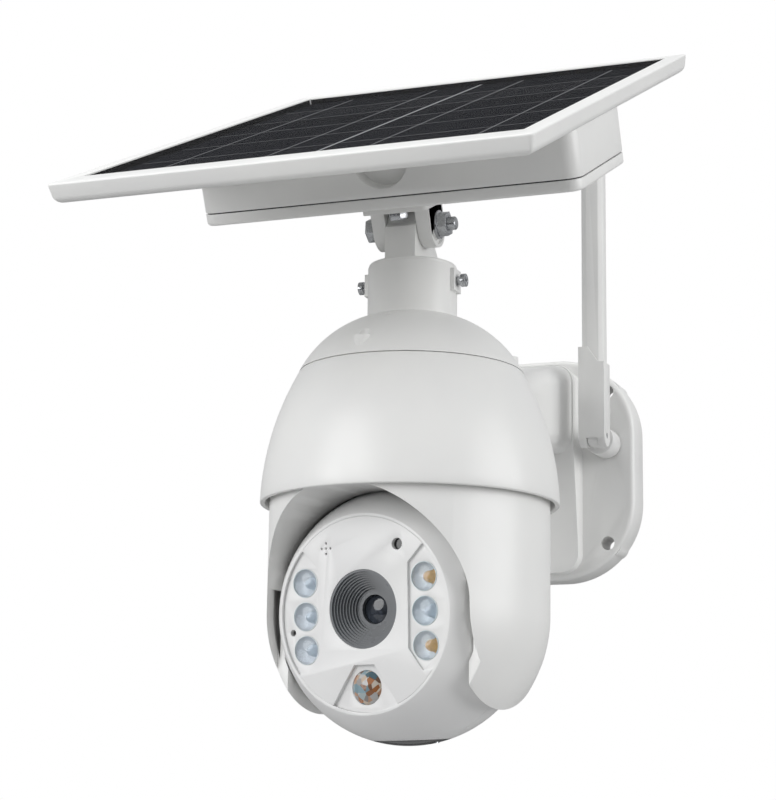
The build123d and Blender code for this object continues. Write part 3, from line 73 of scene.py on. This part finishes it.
studio = {
    "eye": (0.32433, -1.06099, -0.18687),
    "looks": (-0.33716, 0.91833, 0.20734),
    "roll": 0.61,                       # degrees
    "focal": 96.79,
    "shift": (-0.0473, -0.0185),
    "floorSize": 3.0,
    "floorDrop": 0.6,                   # below the object's lowest point
    "floorColour": "b4b4b4",
    "floorRoughness": 0.8,
    "paper": "ffffff",                  # what the camera sees behind the object
    "sky": "f6f7f8",                    # what lights the object
    "skyLow": {"height": -0.35, "strength": 0.05},
    "skyHigh": {"height": 0.5, "strength": 0.62},
}

lights = {      # place, width and watts
    "keyLight": ((-0.8, -1.6, 0.4), 1.4, 17.5),
    "rightLight": ((1.6, -0.15, 0.3), 1.3, 14.0),
    "topLight": ((0.0, -0.5, 1.5), 1.0, 8.0),
}


def fromHex(code):  # sRGB hex to linear colour
    channels = [int(code[i:i + 2], 16) / 255 for i in (0, 2, 4)]
    linear = [c / 12.92 if c <= 0.04045 else ((c + 0.055) / 1.055) ** 2.4 for c in channels]
    return (*linear, 1.0)


def addNode(tree, kind, settings, links=()):  # adds a node, sets it up and feeds its inputs
    node = tree.nodes.new(kind)
    for name, value in settings.items():
        if name in node.inputs:
            node.inputs[name].default_value = value
        else:
            setattr(node, name, value)
    for name, source in dict(links).items():
        tree.links.new(source, node.inputs[name])
    return node


def buildCamera():
    forward = Vector(studio["looks"]).normalized()
    level = forward.cross(Vector((0, 0, 1))).normalized()
    rise = level.cross(forward)
    roll = math.radians(studio["roll"])
    right = math.cos(roll) * level + math.sin(roll) * rise
    up = right.cross(forward)
    data = bpy.data.cameras.new("studioCamera")
    data.lens = studio["focal"]
    data.shift_x, data.shift_y = studio["shift"]
    camera = bpy.data.objects.new("studioCamera", data)
    bpy.context.collection.objects.link(camera)
    turn = Matrix((right, up, -forward)).transposed().to_4x4()
    camera.matrix_world = Matrix.Translation(studio["eye"]) @ turn
    bpy.context.scene.camera = camera


def addLight(name, target):
    place, width, watts = lights[name]
    data = bpy.data.lights.new(name, "AREA")
    data.shape = "DISK"
    data.size = width
    data.energy = watts
    lamp = bpy.data.objects.new(name, data)
    bpy.context.collection.objects.link(lamp)
    lamp.location = place
    lamp.rotation_euler = (Vector(target) - Vector(place)).to_track_quat("-Z", "Y").to_euler()


def buildFloor():
    depth = cadBox[0][2] - studio["floorDrop"]
    bpy.ops.mesh.primitive_plane_add(size=studio["floorSize"], location=(0, 0, depth))
    floor = bpy.context.object
    floor.name = "floor"
    paint = bpy.data.materials.new("paleFloor")
    paint.use_nodes = True
    shader = paint.node_tree.nodes["Principled BSDF"]
    shader.inputs["Base Color"].default_value = fromHex(studio["floorColour"])
    shader.inputs["Roughness"].default_value = studio["floorRoughness"]
    floor.data.materials.append(paint)


def buildSky():  # white paper to the camera, and a sky that is brighter overhead to everything else
    world = bpy.data.worlds.new("studioSky")
    bpy.context.scene.world = world
    world.use_nodes = True
    sky = world.node_tree
    sky.nodes.clear()
    low, high = studio["skyLow"], studio["skyHigh"]
    seen = addNode(sky, "ShaderNodeBackground", {"Color": fromHex(studio["paper"]), "Strength": 1.0})
    spot = addNode(sky, "ShaderNodeTexCoord", {})
    height = addNode(sky, "ShaderNodeSeparateXYZ", {}, {"Vector": spot.outputs["Generated"]})
    lift = addNode(sky, "ShaderNodeMapRange", {
        "From Min": low["height"], "From Max": high["height"],
        "To Min": low["strength"], "To Max": high["strength"],
    }, {"Value": height.outputs["Z"]})
    glow = addNode(sky, "ShaderNodeBackground", {"Color": fromHex(studio["sky"])},
                   {"Strength": lift.outputs[0]})
    path = addNode(sky, "ShaderNodeLightPath", {})
    mix = addNode(sky, "ShaderNodeMixShader", {}, {
        0: path.outputs["Is Camera Ray"], 1: glow.outputs[0], 2: seen.outputs[0]})
    addNode(sky, "ShaderNodeOutputWorld", {}, {"Surface": mix.outputs[0]})


def buildStudio():
    low, high = cadBox
    middle = [(a + b) / 2 for a, b in zip(low, high)]
    buildFloor()
    buildSky()
    for name in lights:
        addLight(name, middle)
    bpy.context.scene.view_settings.view_transform = "Standard"


# ---- materials ----

def startMaterial(name):
    material = bpy.data.materials.new(name)
    material.use_nodes = True
    tree = material.node_tree
    return material, tree, tree.nodes["Principled BSDF"]


skin = {      # shared by the materials, with sizes in millimetres
    "cloud": 40.0,                      # slow drift of tone over a moulding
    "sheen": 12.0,                      # patches of slightly duller surface
    "haze": 30.0,                       # the same on glass
    "detail": 3.0,
    "low": 0.3, "high": 0.7,            # where the noise mostly lies
}


def plastic(name, colour, shade, rough, grain, height, ior=1.54):  # moulded: even tone, fine grained skin
    material, tree, shader = startMaterial(name)
    place = {"Vector": addNode(tree, "ShaderNodeTexCoord", {}).outputs["Object"]}
    cloud = addNode(tree, "ShaderNodeTexNoise", {
        "Scale": 1.0 / (skin["cloud"] * mm), "Detail": skin["detail"],
    }, place)
    share = addNode(tree, "ShaderNodeMapRange", {"From Min": skin["low"], "From Max": skin["high"]},
                    {"Value": cloud.outputs[0]})
    tone = addNode(tree, "ShaderNodeMix", {"data_type": "RGBA", "A": fromHex(colour), "B": fromHex(shade)},
                   {"Factor": share.outputs[0]})
    patches = addNode(tree, "ShaderNodeTexNoise", {
        "Scale": 1.0 / (skin["sheen"] * mm), "Detail": skin["detail"],
    }, place)
    sheen = addNode(tree, "ShaderNodeMapRange", {
        "From Min": skin["low"], "From Max": skin["high"], "To Min": rough - 0.04, "To Max": rough + 0.05,
    }, {"Value": patches.outputs[0]})
    grains = addNode(tree, "ShaderNodeTexNoise", {
        "Scale": 1.0 / (grain * mm), "Detail": skin["detail"],
    }, place)
    bump = addNode(tree, "ShaderNodeBump", {"Strength": 0.35, "Distance": height * mm},
                   {"Height": grains.outputs[0]})
    tree.links.new(tone.outputs["Result"], shader.inputs["Base Color"])
    tree.links.new(sheen.outputs[0], shader.inputs["Roughness"])
    tree.links.new(bump.outputs[0], shader.inputs["Normal"])
    shader.inputs["IOR"].default_value = ior
    return material


def metal(name, colour, rough, grain):  # rolled, turned or plated metal
    material, tree, shader = startMaterial(name)
    place = {"Vector": addNode(tree, "ShaderNodeTexCoord", {}).outputs["Object"]}
    grains = addNode(tree, "ShaderNodeTexNoise", {
        "Scale": 1.0 / (grain * mm), "Detail": skin["detail"],
    }, place)
    sheen = addNode(tree, "ShaderNodeMapRange", {
        "From Min": skin["low"], "From Max": skin["high"], "To Min": rough - 0.06, "To Max": rough + 0.08,
    }, {"Value": grains.outputs[0]})
    bump = addNode(tree, "ShaderNodeBump", {"Strength": 0.3, "Distance": 0.02 * mm},
                   {"Height": grains.outputs[0]})
    tree.links.new(sheen.outputs[0], shader.inputs["Roughness"])
    tree.links.new(bump.outputs[0], shader.inputs["Normal"])
    shader.inputs["Base Color"].default_value = fromHex(colour)
    shader.inputs["Metallic"].default_value = 1.0
    return material


def clear(name, colour, rough, ior, see):  # clear glass or acrylic, part see-through
    material, tree, shader = startMaterial(name)
    place = {"Vector": addNode(tree, "ShaderNodeTexCoord", {}).outputs["Object"]}
    haze = addNode(tree, "ShaderNodeTexNoise", {
        "Scale": 1.0 / (skin["haze"] * mm), "Detail": skin["detail"],
    }, place)
    sheen = addNode(tree, "ShaderNodeMapRange", {
        "From Min": skin["low"], "From Max": skin["high"], "To Min": rough, "To Max": rough + 0.02,
    }, {"Value": haze.outputs[0]})
    tree.links.new(sheen.outputs[0], shader.inputs["Roughness"])
    shader.inputs["Base Color"].default_value = fromHex(colour)
    shader.inputs["IOR"].default_value = ior
    shader.inputs["Transmission Weight"].default_value = see
    return material


def resin(name, colour, rough):  # the drop of cast resin over a lamp's chip
    material, tree, shader = startMaterial(name)
    place = {"Vector": addNode(tree, "ShaderNodeTexCoord", {}).outputs["Object"]}
    dust = addNode(tree, "ShaderNodeTexNoise", {"Scale": 1.0 / (0.3 * mm), "Detail": skin["detail"]}, place)
    bump = addNode(tree, "ShaderNodeBump", {"Strength": 0.2, "Distance": 0.05 * mm},
                   {"Height": dust.outputs[0]})
    tree.links.new(bump.outputs[0], shader.inputs["Normal"])
    shader.inputs["Base Color"].default_value = fromHex(colour)
    shader.inputs["Roughness"].default_value = rough
    return material


looks = {
    "white_abs": plastic("mouldedWhiteAbs", "efefed", "ebebea", 0.34, 0.7, 0.02),  # even satin sheen
    "white_face": plastic("mouldedWhiteFaceAbs", "ececeb", "e8e8e8", 0.4, 0.6, 0.03),
    "antenna_plastic": plastic("mouldedWhiteAntennaAbs", "ebebe9", "e6e6e5", 0.36, 0.7, 0.02),
    # black plastic coloured mid grey: painted reflection of the lens window glass, in place of its own near-black
    "black_plastic": plastic("mouldedBlackPolycarbonate", "5b5e61", "63666a", 0.3, 0.5, 0.03, 1.58),
    "dark_cover": plastic("smokedPolycarbonate", "0c0d10", "121317", 0.12, 0.9, 0.005, 1.58),
    "grey_rubber": plastic("mouldedSiliconeRubber", "47484a", "505153", 0.7, 0.5, 0.04, 1.43),
    "board_green": plastic("solderMaskedLaminate", "1c5534", "236341", 0.35, 1.2, 0.05),
    "board_white": plastic("whiteSolderMask", "d9dad5", "cfd0cc", 0.4, 1.0, 0.04),
    "acetal": plastic("machinedAcetal", "e6e2d6", "ddd9cc", 0.38, 1.0, 0.03, 1.48),
    "cell_wrap": plastic("shrinkWrapPvc", "2b629c", "356fa9", 0.3, 2.0, 0.02),
    "button_plastic": plastic("mouldedButtonAbs", "2c2e32", "34363a", 0.45, 0.6, 0.02),
    "black_sheet": plastic("blackPolyesterSheet", "141416", "1a1a1d", 0.5, 1.5, 0.02),
    "stainless": metal("turnedStainlessSteel", "b9bbbe", 0.24, 0.4),
    "zinc_steel": metal("zincPlatedSteel", "8f9194", 0.38, 0.8),
    "motor_can": metal("pressedSteelCan", "a2a5a8", 0.34, 1.0),
    "brass_parts": metal("turnedBrass", "c19b45", 0.28, 0.5),
    "clear_lens": clear("mouldedAcrylicLens", "f7faff", 0.03, 1.49, 0.92),
    "optical_glass": clear("coatedOpticalGlass", "5d6470", 0.01, 1.6, 0.8),
}


def solarGlass():  # low-iron tempered glass with an anti-reflective surface, so little of the sky shows in it
    material = plastic("antiReflectiveGlass", "101114", "15161a", 0.2, 1.5, 0.01, 1.5)
    shader = material.node_tree.nodes["Principled BSDF"]
    shader.inputs["Alpha"].default_value = 0.07
    return material


def siliconCells():  # textured monocrystalline wafer, nearly black with a cool cast
    material, tree, shader = startMaterial("monocrystallineSilicon")
    place = {"Vector": addNode(tree, "ShaderNodeTexCoord", {}).outputs["Object"]}
    patches = addNode(tree, "ShaderNodeTexNoise", {
        "Scale": 1.0 / (25.0 * mm), "Detail": skin["detail"],
    }, place)
    sheen = addNode(tree, "ShaderNodeMapRange", {
        "From Min": skin["low"], "From Max": skin["high"], "To Min": 0.4, "To Max": 0.5,
    }, {"Value": patches.outputs[0]})
    etch = addNode(tree, "ShaderNodeTexNoise", {"Scale": 1.0 / (0.8 * mm), "Detail": skin["detail"]}, place)
    bump = addNode(tree, "ShaderNodeBump", {"Strength": 0.2, "Distance": 0.02 * mm},
                   {"Height": etch.outputs[0]})
    tree.links.new(sheen.outputs[0], shader.inputs["Roughness"])
    tree.links.new(bump.outputs[0], shader.inputs["Normal"])
    shader.inputs["Base Color"].default_value = fromHex("1d1e22")
    shader.inputs["Specular IOR Level"].default_value = 0.0
    return material


def infraredFilmPaintedReflections():  # clear polyethylene dome; the colour of each moulded facet is painted reflection of another part of the surroundings
    material, tree, shader = startMaterial("mouldedPolyethyleneDome")
    facetSize = 2.6
    # painted reflections: each facet is coloured as if it mirrored another part of the surroundings
    reflectionTints = ("4f6c78", "a9c3cd", "e8d9c6", "b9743f", "6d5a4e", "f1f4f5")
    spot = addNode(tree, "ShaderNodeTexCoord", {})
    facets = addNode(tree, "ShaderNodeTexVoronoi", {"Scale": 1.0 / (facetSize * mm), "feature": "F1"},
                     {"Vector": spot.outputs["Object"]})
    pick = addNode(tree, "ShaderNodeSeparateXYZ", {}, {"Vector": facets.outputs["Color"]})
    ramp = addNode(tree, "ShaderNodeValToRGB", {}, {"Fac": pick.outputs["X"]})
    stops = ramp.color_ramp.elements
    while len(stops) < len(reflectionTints):
        stops.new(0.5)
    for index, tint in enumerate(reflectionTints):
        stops[index].position = index / (len(reflectionTints) - 1)
        stops[index].color = fromHex(tint)
    tree.links.new(ramp.outputs["Color"], shader.inputs["Base Color"])
    shader.inputs["Roughness"].default_value = 0.12
    shader.inputs["Transmission Weight"].default_value = 0.3
    shader.inputs["IOR"].default_value = 1.51
    bump = addNode(tree, "ShaderNodeBump", {"Strength": 0.8, "Distance": 0.3 * mm},
                   {"Height": facets.outputs["Distance"]})
    tree.links.new(bump.outputs[0], shader.inputs["Normal"])
    return material


looks["silicon"] = siliconCells()
looks["pir_film"] = infraredFilmPaintedReflections()
looks["panel_glass"] = solarGlass()
backing = looks["black_sheet"].node_tree.nodes["Principled BSDF"]
backing.inputs["Specular IOR Level"].default_value = 0.0      # seen only through the panel's glass

slotOf = {row["node"]: row["material_slot"] for row in frame["record"]["subparts"]}
for name, node in nodes.items():
    node.data.materials.clear()
    node.data.materials.append(looks[slotOf[name]])
print("materials are set")


# ---- edges: the moulded pieces get the small rounds that moulding leaves ----

bodyOf = {node: body for body, members in frame["record"]["behaviour"]["bodies"].items() for node in members}

softening = {      # node: width of its edge rounds in millimetres
    "wall_bracket": 0.9, "dome_skirt": 0.35, "dome_cap": 0.35, "neck_adapter": 0.5, "clevis": 0.5,
    "box_lower_cover": 0.4, "box_upper": 0.5, "panel_tray": 0.7, "yoke_shell": 0.6, "face_plate": 0.3,
    "front_ball_shell": 0.3, "rear_ball_shell": 0.3, "antenna_mast": 0.4, "antenna_knob": 0.5,
    "hinge_bolt": 0.2, "hinge_nut_and_washers": 0.2, "clevis_bolts": 0.2, "cap_screws": 0.15,
    "neck_set_screws": 0.15, "service_cover": 0.2,
}


def softEdges(name, width):
    piece = nodes[name].copy()
    piece.data = nodes[name].data.copy()
    piece.name = name.replace("_", " ").title().replace(" ", "") + "Moulding"
    piece.parent = None
    bpy.context.collection.objects.link(piece)
    bpy.ops.object.select_all(action="DESELECT")
    piece.hide_set(False)
    piece.select_set(True)
    bpy.context.view_layer.objects.active = piece
    bpy.ops.object.mode_set(mode="EDIT")
    bpy.ops.mesh.select_all(action="SELECT")
    bpy.ops.mesh.remove_doubles(threshold=0.002 * mm)
    bpy.ops.mesh.dissolve_limited(angle_limit=math.radians(0.6))
    bpy.ops.object.mode_set(mode="OBJECT")
    rounds = piece.modifiers.new("rounds", "BEVEL")
    rounds.width = width * mm
    rounds.segments = 2
    rounds.limit_method = "ANGLE"
    rounds.angle_limit = math.radians(38)
    rounds.use_clamp_overlap = True
    bpy.ops.object.modifier_apply(modifier=rounds.name)
    bpy.ops.object.shade_smooth_by_angle(angle=math.radians(32))
    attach(piece, bodyOf[name])
    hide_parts(name)
    return piece


for name, width in softening.items():
    softEdges(name, width)
print("edges are rounded")


# ---- lamps: a glossy cup coloured pale cyan-white as painted reflection, a chip and a clear dome at each of the six places ----

lamps = {
    "columns": 29.3, "pitch": 14.1,
    "mouth": -35.4, "floor": -31.6,   # in front of the ball's centre
    "mouthRadius": 5.9, "floorRadius": 2.4,
    "cupSteps": 5, "cupWall": 0.2,
    "chipRadius": 1.9, "chipRise": 1.5,
    "domeBase": -34.6, "domeRadius": 5.9, "domeRise": 2.3,
    "warm": ((1, 1), (1, -1)),        # side and row of the two warm lamps
}


def finishPiece(piece, name, body, pose, material):  # places a piece and hangs it on its body
    piece.name = name
    piece.data.transform(pose)
    piece.data.update()
    piece.data.materials.clear()
    piece.data.materials.append(material)
    bpy.ops.object.select_all(action="DESELECT")
    piece.select_set(True)
    bpy.context.view_layer.objects.active = piece
    bpy.ops.object.shade_smooth_by_angle(angle=math.radians(40))
    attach(piece, body)
    return piece


def joinAll(parts):  # makes one piece of several
    bpy.ops.object.select_all(action="DESELECT")
    for part in parts:
        part.select_set(True)
    bpy.context.view_layer.objects.active = parts[0]
    bpy.ops.object.join()
    return bpy.context.object


def lampCup(side, row):
    x, z = side * lamps["columns"], row * lamps["pitch"]
    bpy.ops.mesh.primitive_circle_add(
        vertices=40, radius=lamps["mouthRadius"] * mm, fill_type="NOTHING",
        location=(x * mm, lamps["mouth"] * mm, z * mm), rotation=(math.pi / 2, 0, 0))
    bpy.ops.object.transform_apply(location=False, rotation=True, scale=True)
    bpy.ops.object.mode_set(mode="EDIT")
    bpy.ops.mesh.select_all(action="SELECT")
    steps = lamps["cupSteps"]
    depth = lamps["floor"] - lamps["mouth"]
    radius = lamps["mouthRadius"]
    flare = lamps["mouthRadius"] - lamps["floorRadius"]
    for step in range(1, steps + 1):
        share = step / steps
        wanted = lamps["floorRadius"] + flare * math.sqrt(1 - share ** 2)
        bpy.ops.mesh.extrude_region_move(TRANSFORM_OT_translate={"value": (0, depth / steps * mm, 0)})
        bpy.ops.transform.resize(value=(wanted / radius, 1, wanted / radius),
                                 center_override=(x * mm, (lamps["mouth"] + depth * share) * mm, z * mm))
        radius = wanted
    bpy.ops.mesh.edge_face_add()
    bpy.ops.mesh.select_all(action="SELECT")
    bpy.ops.mesh.normals_make_consistent(inside=True)
    bpy.ops.object.mode_set(mode="OBJECT")
    cup = bpy.context.object
    wall = cup.modifiers.new("wall", "SOLIDIFY")
    wall.thickness = lamps["cupWall"] * mm
    wall.offset = -1
    bpy.ops.object.modifier_apply(modifier=wall.name)
    bpy.ops.object.transform_apply(location=True, rotation=True, scale=True)
    return bpy.context.object


def roundDome(side, row, base, radius, rise):  # a closed dome that stands out towards the front
    x, z = side * lamps["columns"], row * lamps["pitch"]
    bpy.ops.mesh.primitive_uv_sphere_add(segments=40, ring_count=24, radius=1.0, location=(0, 0, 0))
    dome = bpy.context.object
    bpy.ops.object.mode_set(mode="EDIT")
    bpy.ops.mesh.select_all(action="SELECT")
    bpy.ops.mesh.bisect(plane_co=(0, 0, 0), plane_no=(0, 1, 0), use_fill=True, clear_outer=True)
    bpy.ops.object.mode_set(mode="OBJECT")
    dome.data.transform(Matrix.Translation((x * mm, base * mm, z * mm)) @ Matrix.Diagonal(
        (radius * mm, rise * mm, radius * mm, 1)))
    return dome


spots = [(side, row) for side in (-1, 1) for row in (-1, 0, 1)]
cups = [lampCup(side, row) for side, row in spots]
# the cups' pale cyan-white is painted reflection, standing in for the bright surroundings that silvered cups
# mirror
cupPaintedReflection = plastic("glossedWhiteCup", "e6f2f5", "f2f8fa", 0.18, 1.2, 0.01)
finishPiece(joinAll(cups), "lampCups", "camera_ball", ballPose, cupPaintedReflection)

warmChip = resin("warmPhosphor", "f2b544", 0.35)
coolChip = resin("clearEmitterResin", "d3e2ea", 0.12)
for label, material, wanted in (("warmChips", warmChip, True), ("coolChips", coolChip, False)):
    chips = [
        roundDome(side, row, lamps["floor"], lamps["chipRadius"], lamps["chipRise"])
        for side, row in spots if ((side, row) in lamps["warm"]) == wanted
    ]
    finishPiece(joinAll(chips), label, "camera_ball", ballPose, material)
domes = [
    roundDome(side, row, lamps["domeBase"], lamps["domeRadius"], lamps["domeRise"])
    for side, row in spots
]
acrylic = looks["clear_lens"]
lampDomes = finishPiece(joinAll(domes), "lampDomes", "camera_ball", ballPose, acrylic)
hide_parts("lamp_lenses")
print("lamps are built")


# ---- solar panel: ribbons along the cells and the thin gaps between rows ----

panel = {
    "centre": 10.0, "level": 47.84,     # behind and above the hinge axis
    "columns": 2, "rows": 6,
    "width": 180.0, "length": 244.0,
    "glassWidth": 186.3, "glassLength": 252.3, "sealLow": 46.4, "sealHigh": 49.75, "sealWall": 0.12,
    "ribbon": 1.0, "ribbonDepth": 0.06, "middleGap": 1.3, "rowGap": 0.8,
    "crossWidth": 1.2, "crossLength": 2.4,
    "ribbonPlaces": (-0.25, 0.25),      # share of a column's pitch
    "ribbonMargin": 4.0, "rowMargin": 3.0, "seamOverrun": 2.0,
}


def addStrip(x, y, width, length):
    bpy.ops.mesh.primitive_cube_add(size=1.0, location=(0, 0, 0))
    strip = bpy.context.object
    bpy.ops.object.mode_set(mode="EDIT")
    bpy.ops.mesh.select_all(action="SELECT")
    bpy.ops.transform.resize(value=(width * mm, length * mm, panel["ribbonDepth"] * mm))
    bpy.ops.transform.translate(value=(x * mm, (y + panel["centre"]) * mm, panel["level"] * mm))
    bpy.ops.mesh.bevel(offset=0.02 * mm, segments=1)
    bpy.ops.object.mode_set(mode="OBJECT")
    return strip


def edgeSeal():  # the thin black seal between the glass and its frame
    bpy.ops.mesh.primitive_plane_add(size=1.0, location=(0, 0, 0))
    seal = bpy.context.object
    bpy.ops.object.mode_set(mode="EDIT")
    bpy.ops.mesh.select_all(action="SELECT")
    bpy.ops.transform.resize(value=(panel["glassWidth"] * mm, panel["glassLength"] * mm, 1))
    bpy.ops.transform.translate(value=(0, panel["centre"] * mm, panel["sealLow"] * mm))
    bpy.ops.mesh.delete(type="ONLY_FACE")
    bpy.ops.mesh.select_all(action="SELECT")
    rise = (panel["sealHigh"] - panel["sealLow"]) * mm
    bpy.ops.mesh.extrude_region_move(TRANSFORM_OT_translate={"value": (0, 0, rise)})
    bpy.ops.mesh.select_all(action="SELECT")
    bpy.ops.mesh.normals_make_consistent(inside=False)
    bpy.ops.object.mode_set(mode="OBJECT")
    wall = seal.modifiers.new("wall", "SOLIDIFY")
    wall.thickness = panel["sealWall"] * mm
    wall.offset = 0
    bpy.ops.object.modifier_apply(modifier=wall.name)
    return bpy.context.object


columnPitch = panel["width"] / panel["columns"]
rowPitch = panel["length"] / panel["rows"]
ribbons = []
seams = [addStrip(0.0, 0.0, panel["middleGap"], panel["length"] + panel["seamOverrun"])]
for column in range(panel["columns"]):
    middle = (column - (panel["columns"] - 1) / 2) * columnPitch
    lines = [middle + place * columnPitch for place in panel["ribbonPlaces"]]
    for x in lines:
        ribbons.append(addStrip(x, 0.0, panel["ribbon"], panel["length"] - panel["ribbonMargin"]))
    for row in range(1, panel["rows"]):
        y = (row - panel["rows"] / 2) * rowPitch
        ribbons.append(addStrip(middle, y, columnPitch - panel["rowMargin"], panel["rowGap"]))
        for x in lines:   # the ribbon shows brighter where it crosses a gap
            seams.append(addStrip(x, y, panel["crossWidth"], panel["crossLength"]))
dullTin = plastic("oxidisedRibbonTin", "3d3f43", "484a4e", 0.5, 0.8, 0.01)
brightSheet = plastic("whiteBackingSheet", "8e9093", "9a9c9f", 0.5, 0.8, 0.01)
finishPiece(edgeSeal(), "glassSeal", "solar_panel", panelPose, looks["black_sheet"])
finishPiece(joinAll(ribbons), "cellRibbons", "solar_panel", panelPose, dullTin)
finishPiece(joinAll(seams), "cellGaps", "solar_panel", panelPose, brightSheet)
print("panel is built")

buildCamera()
buildStudio()
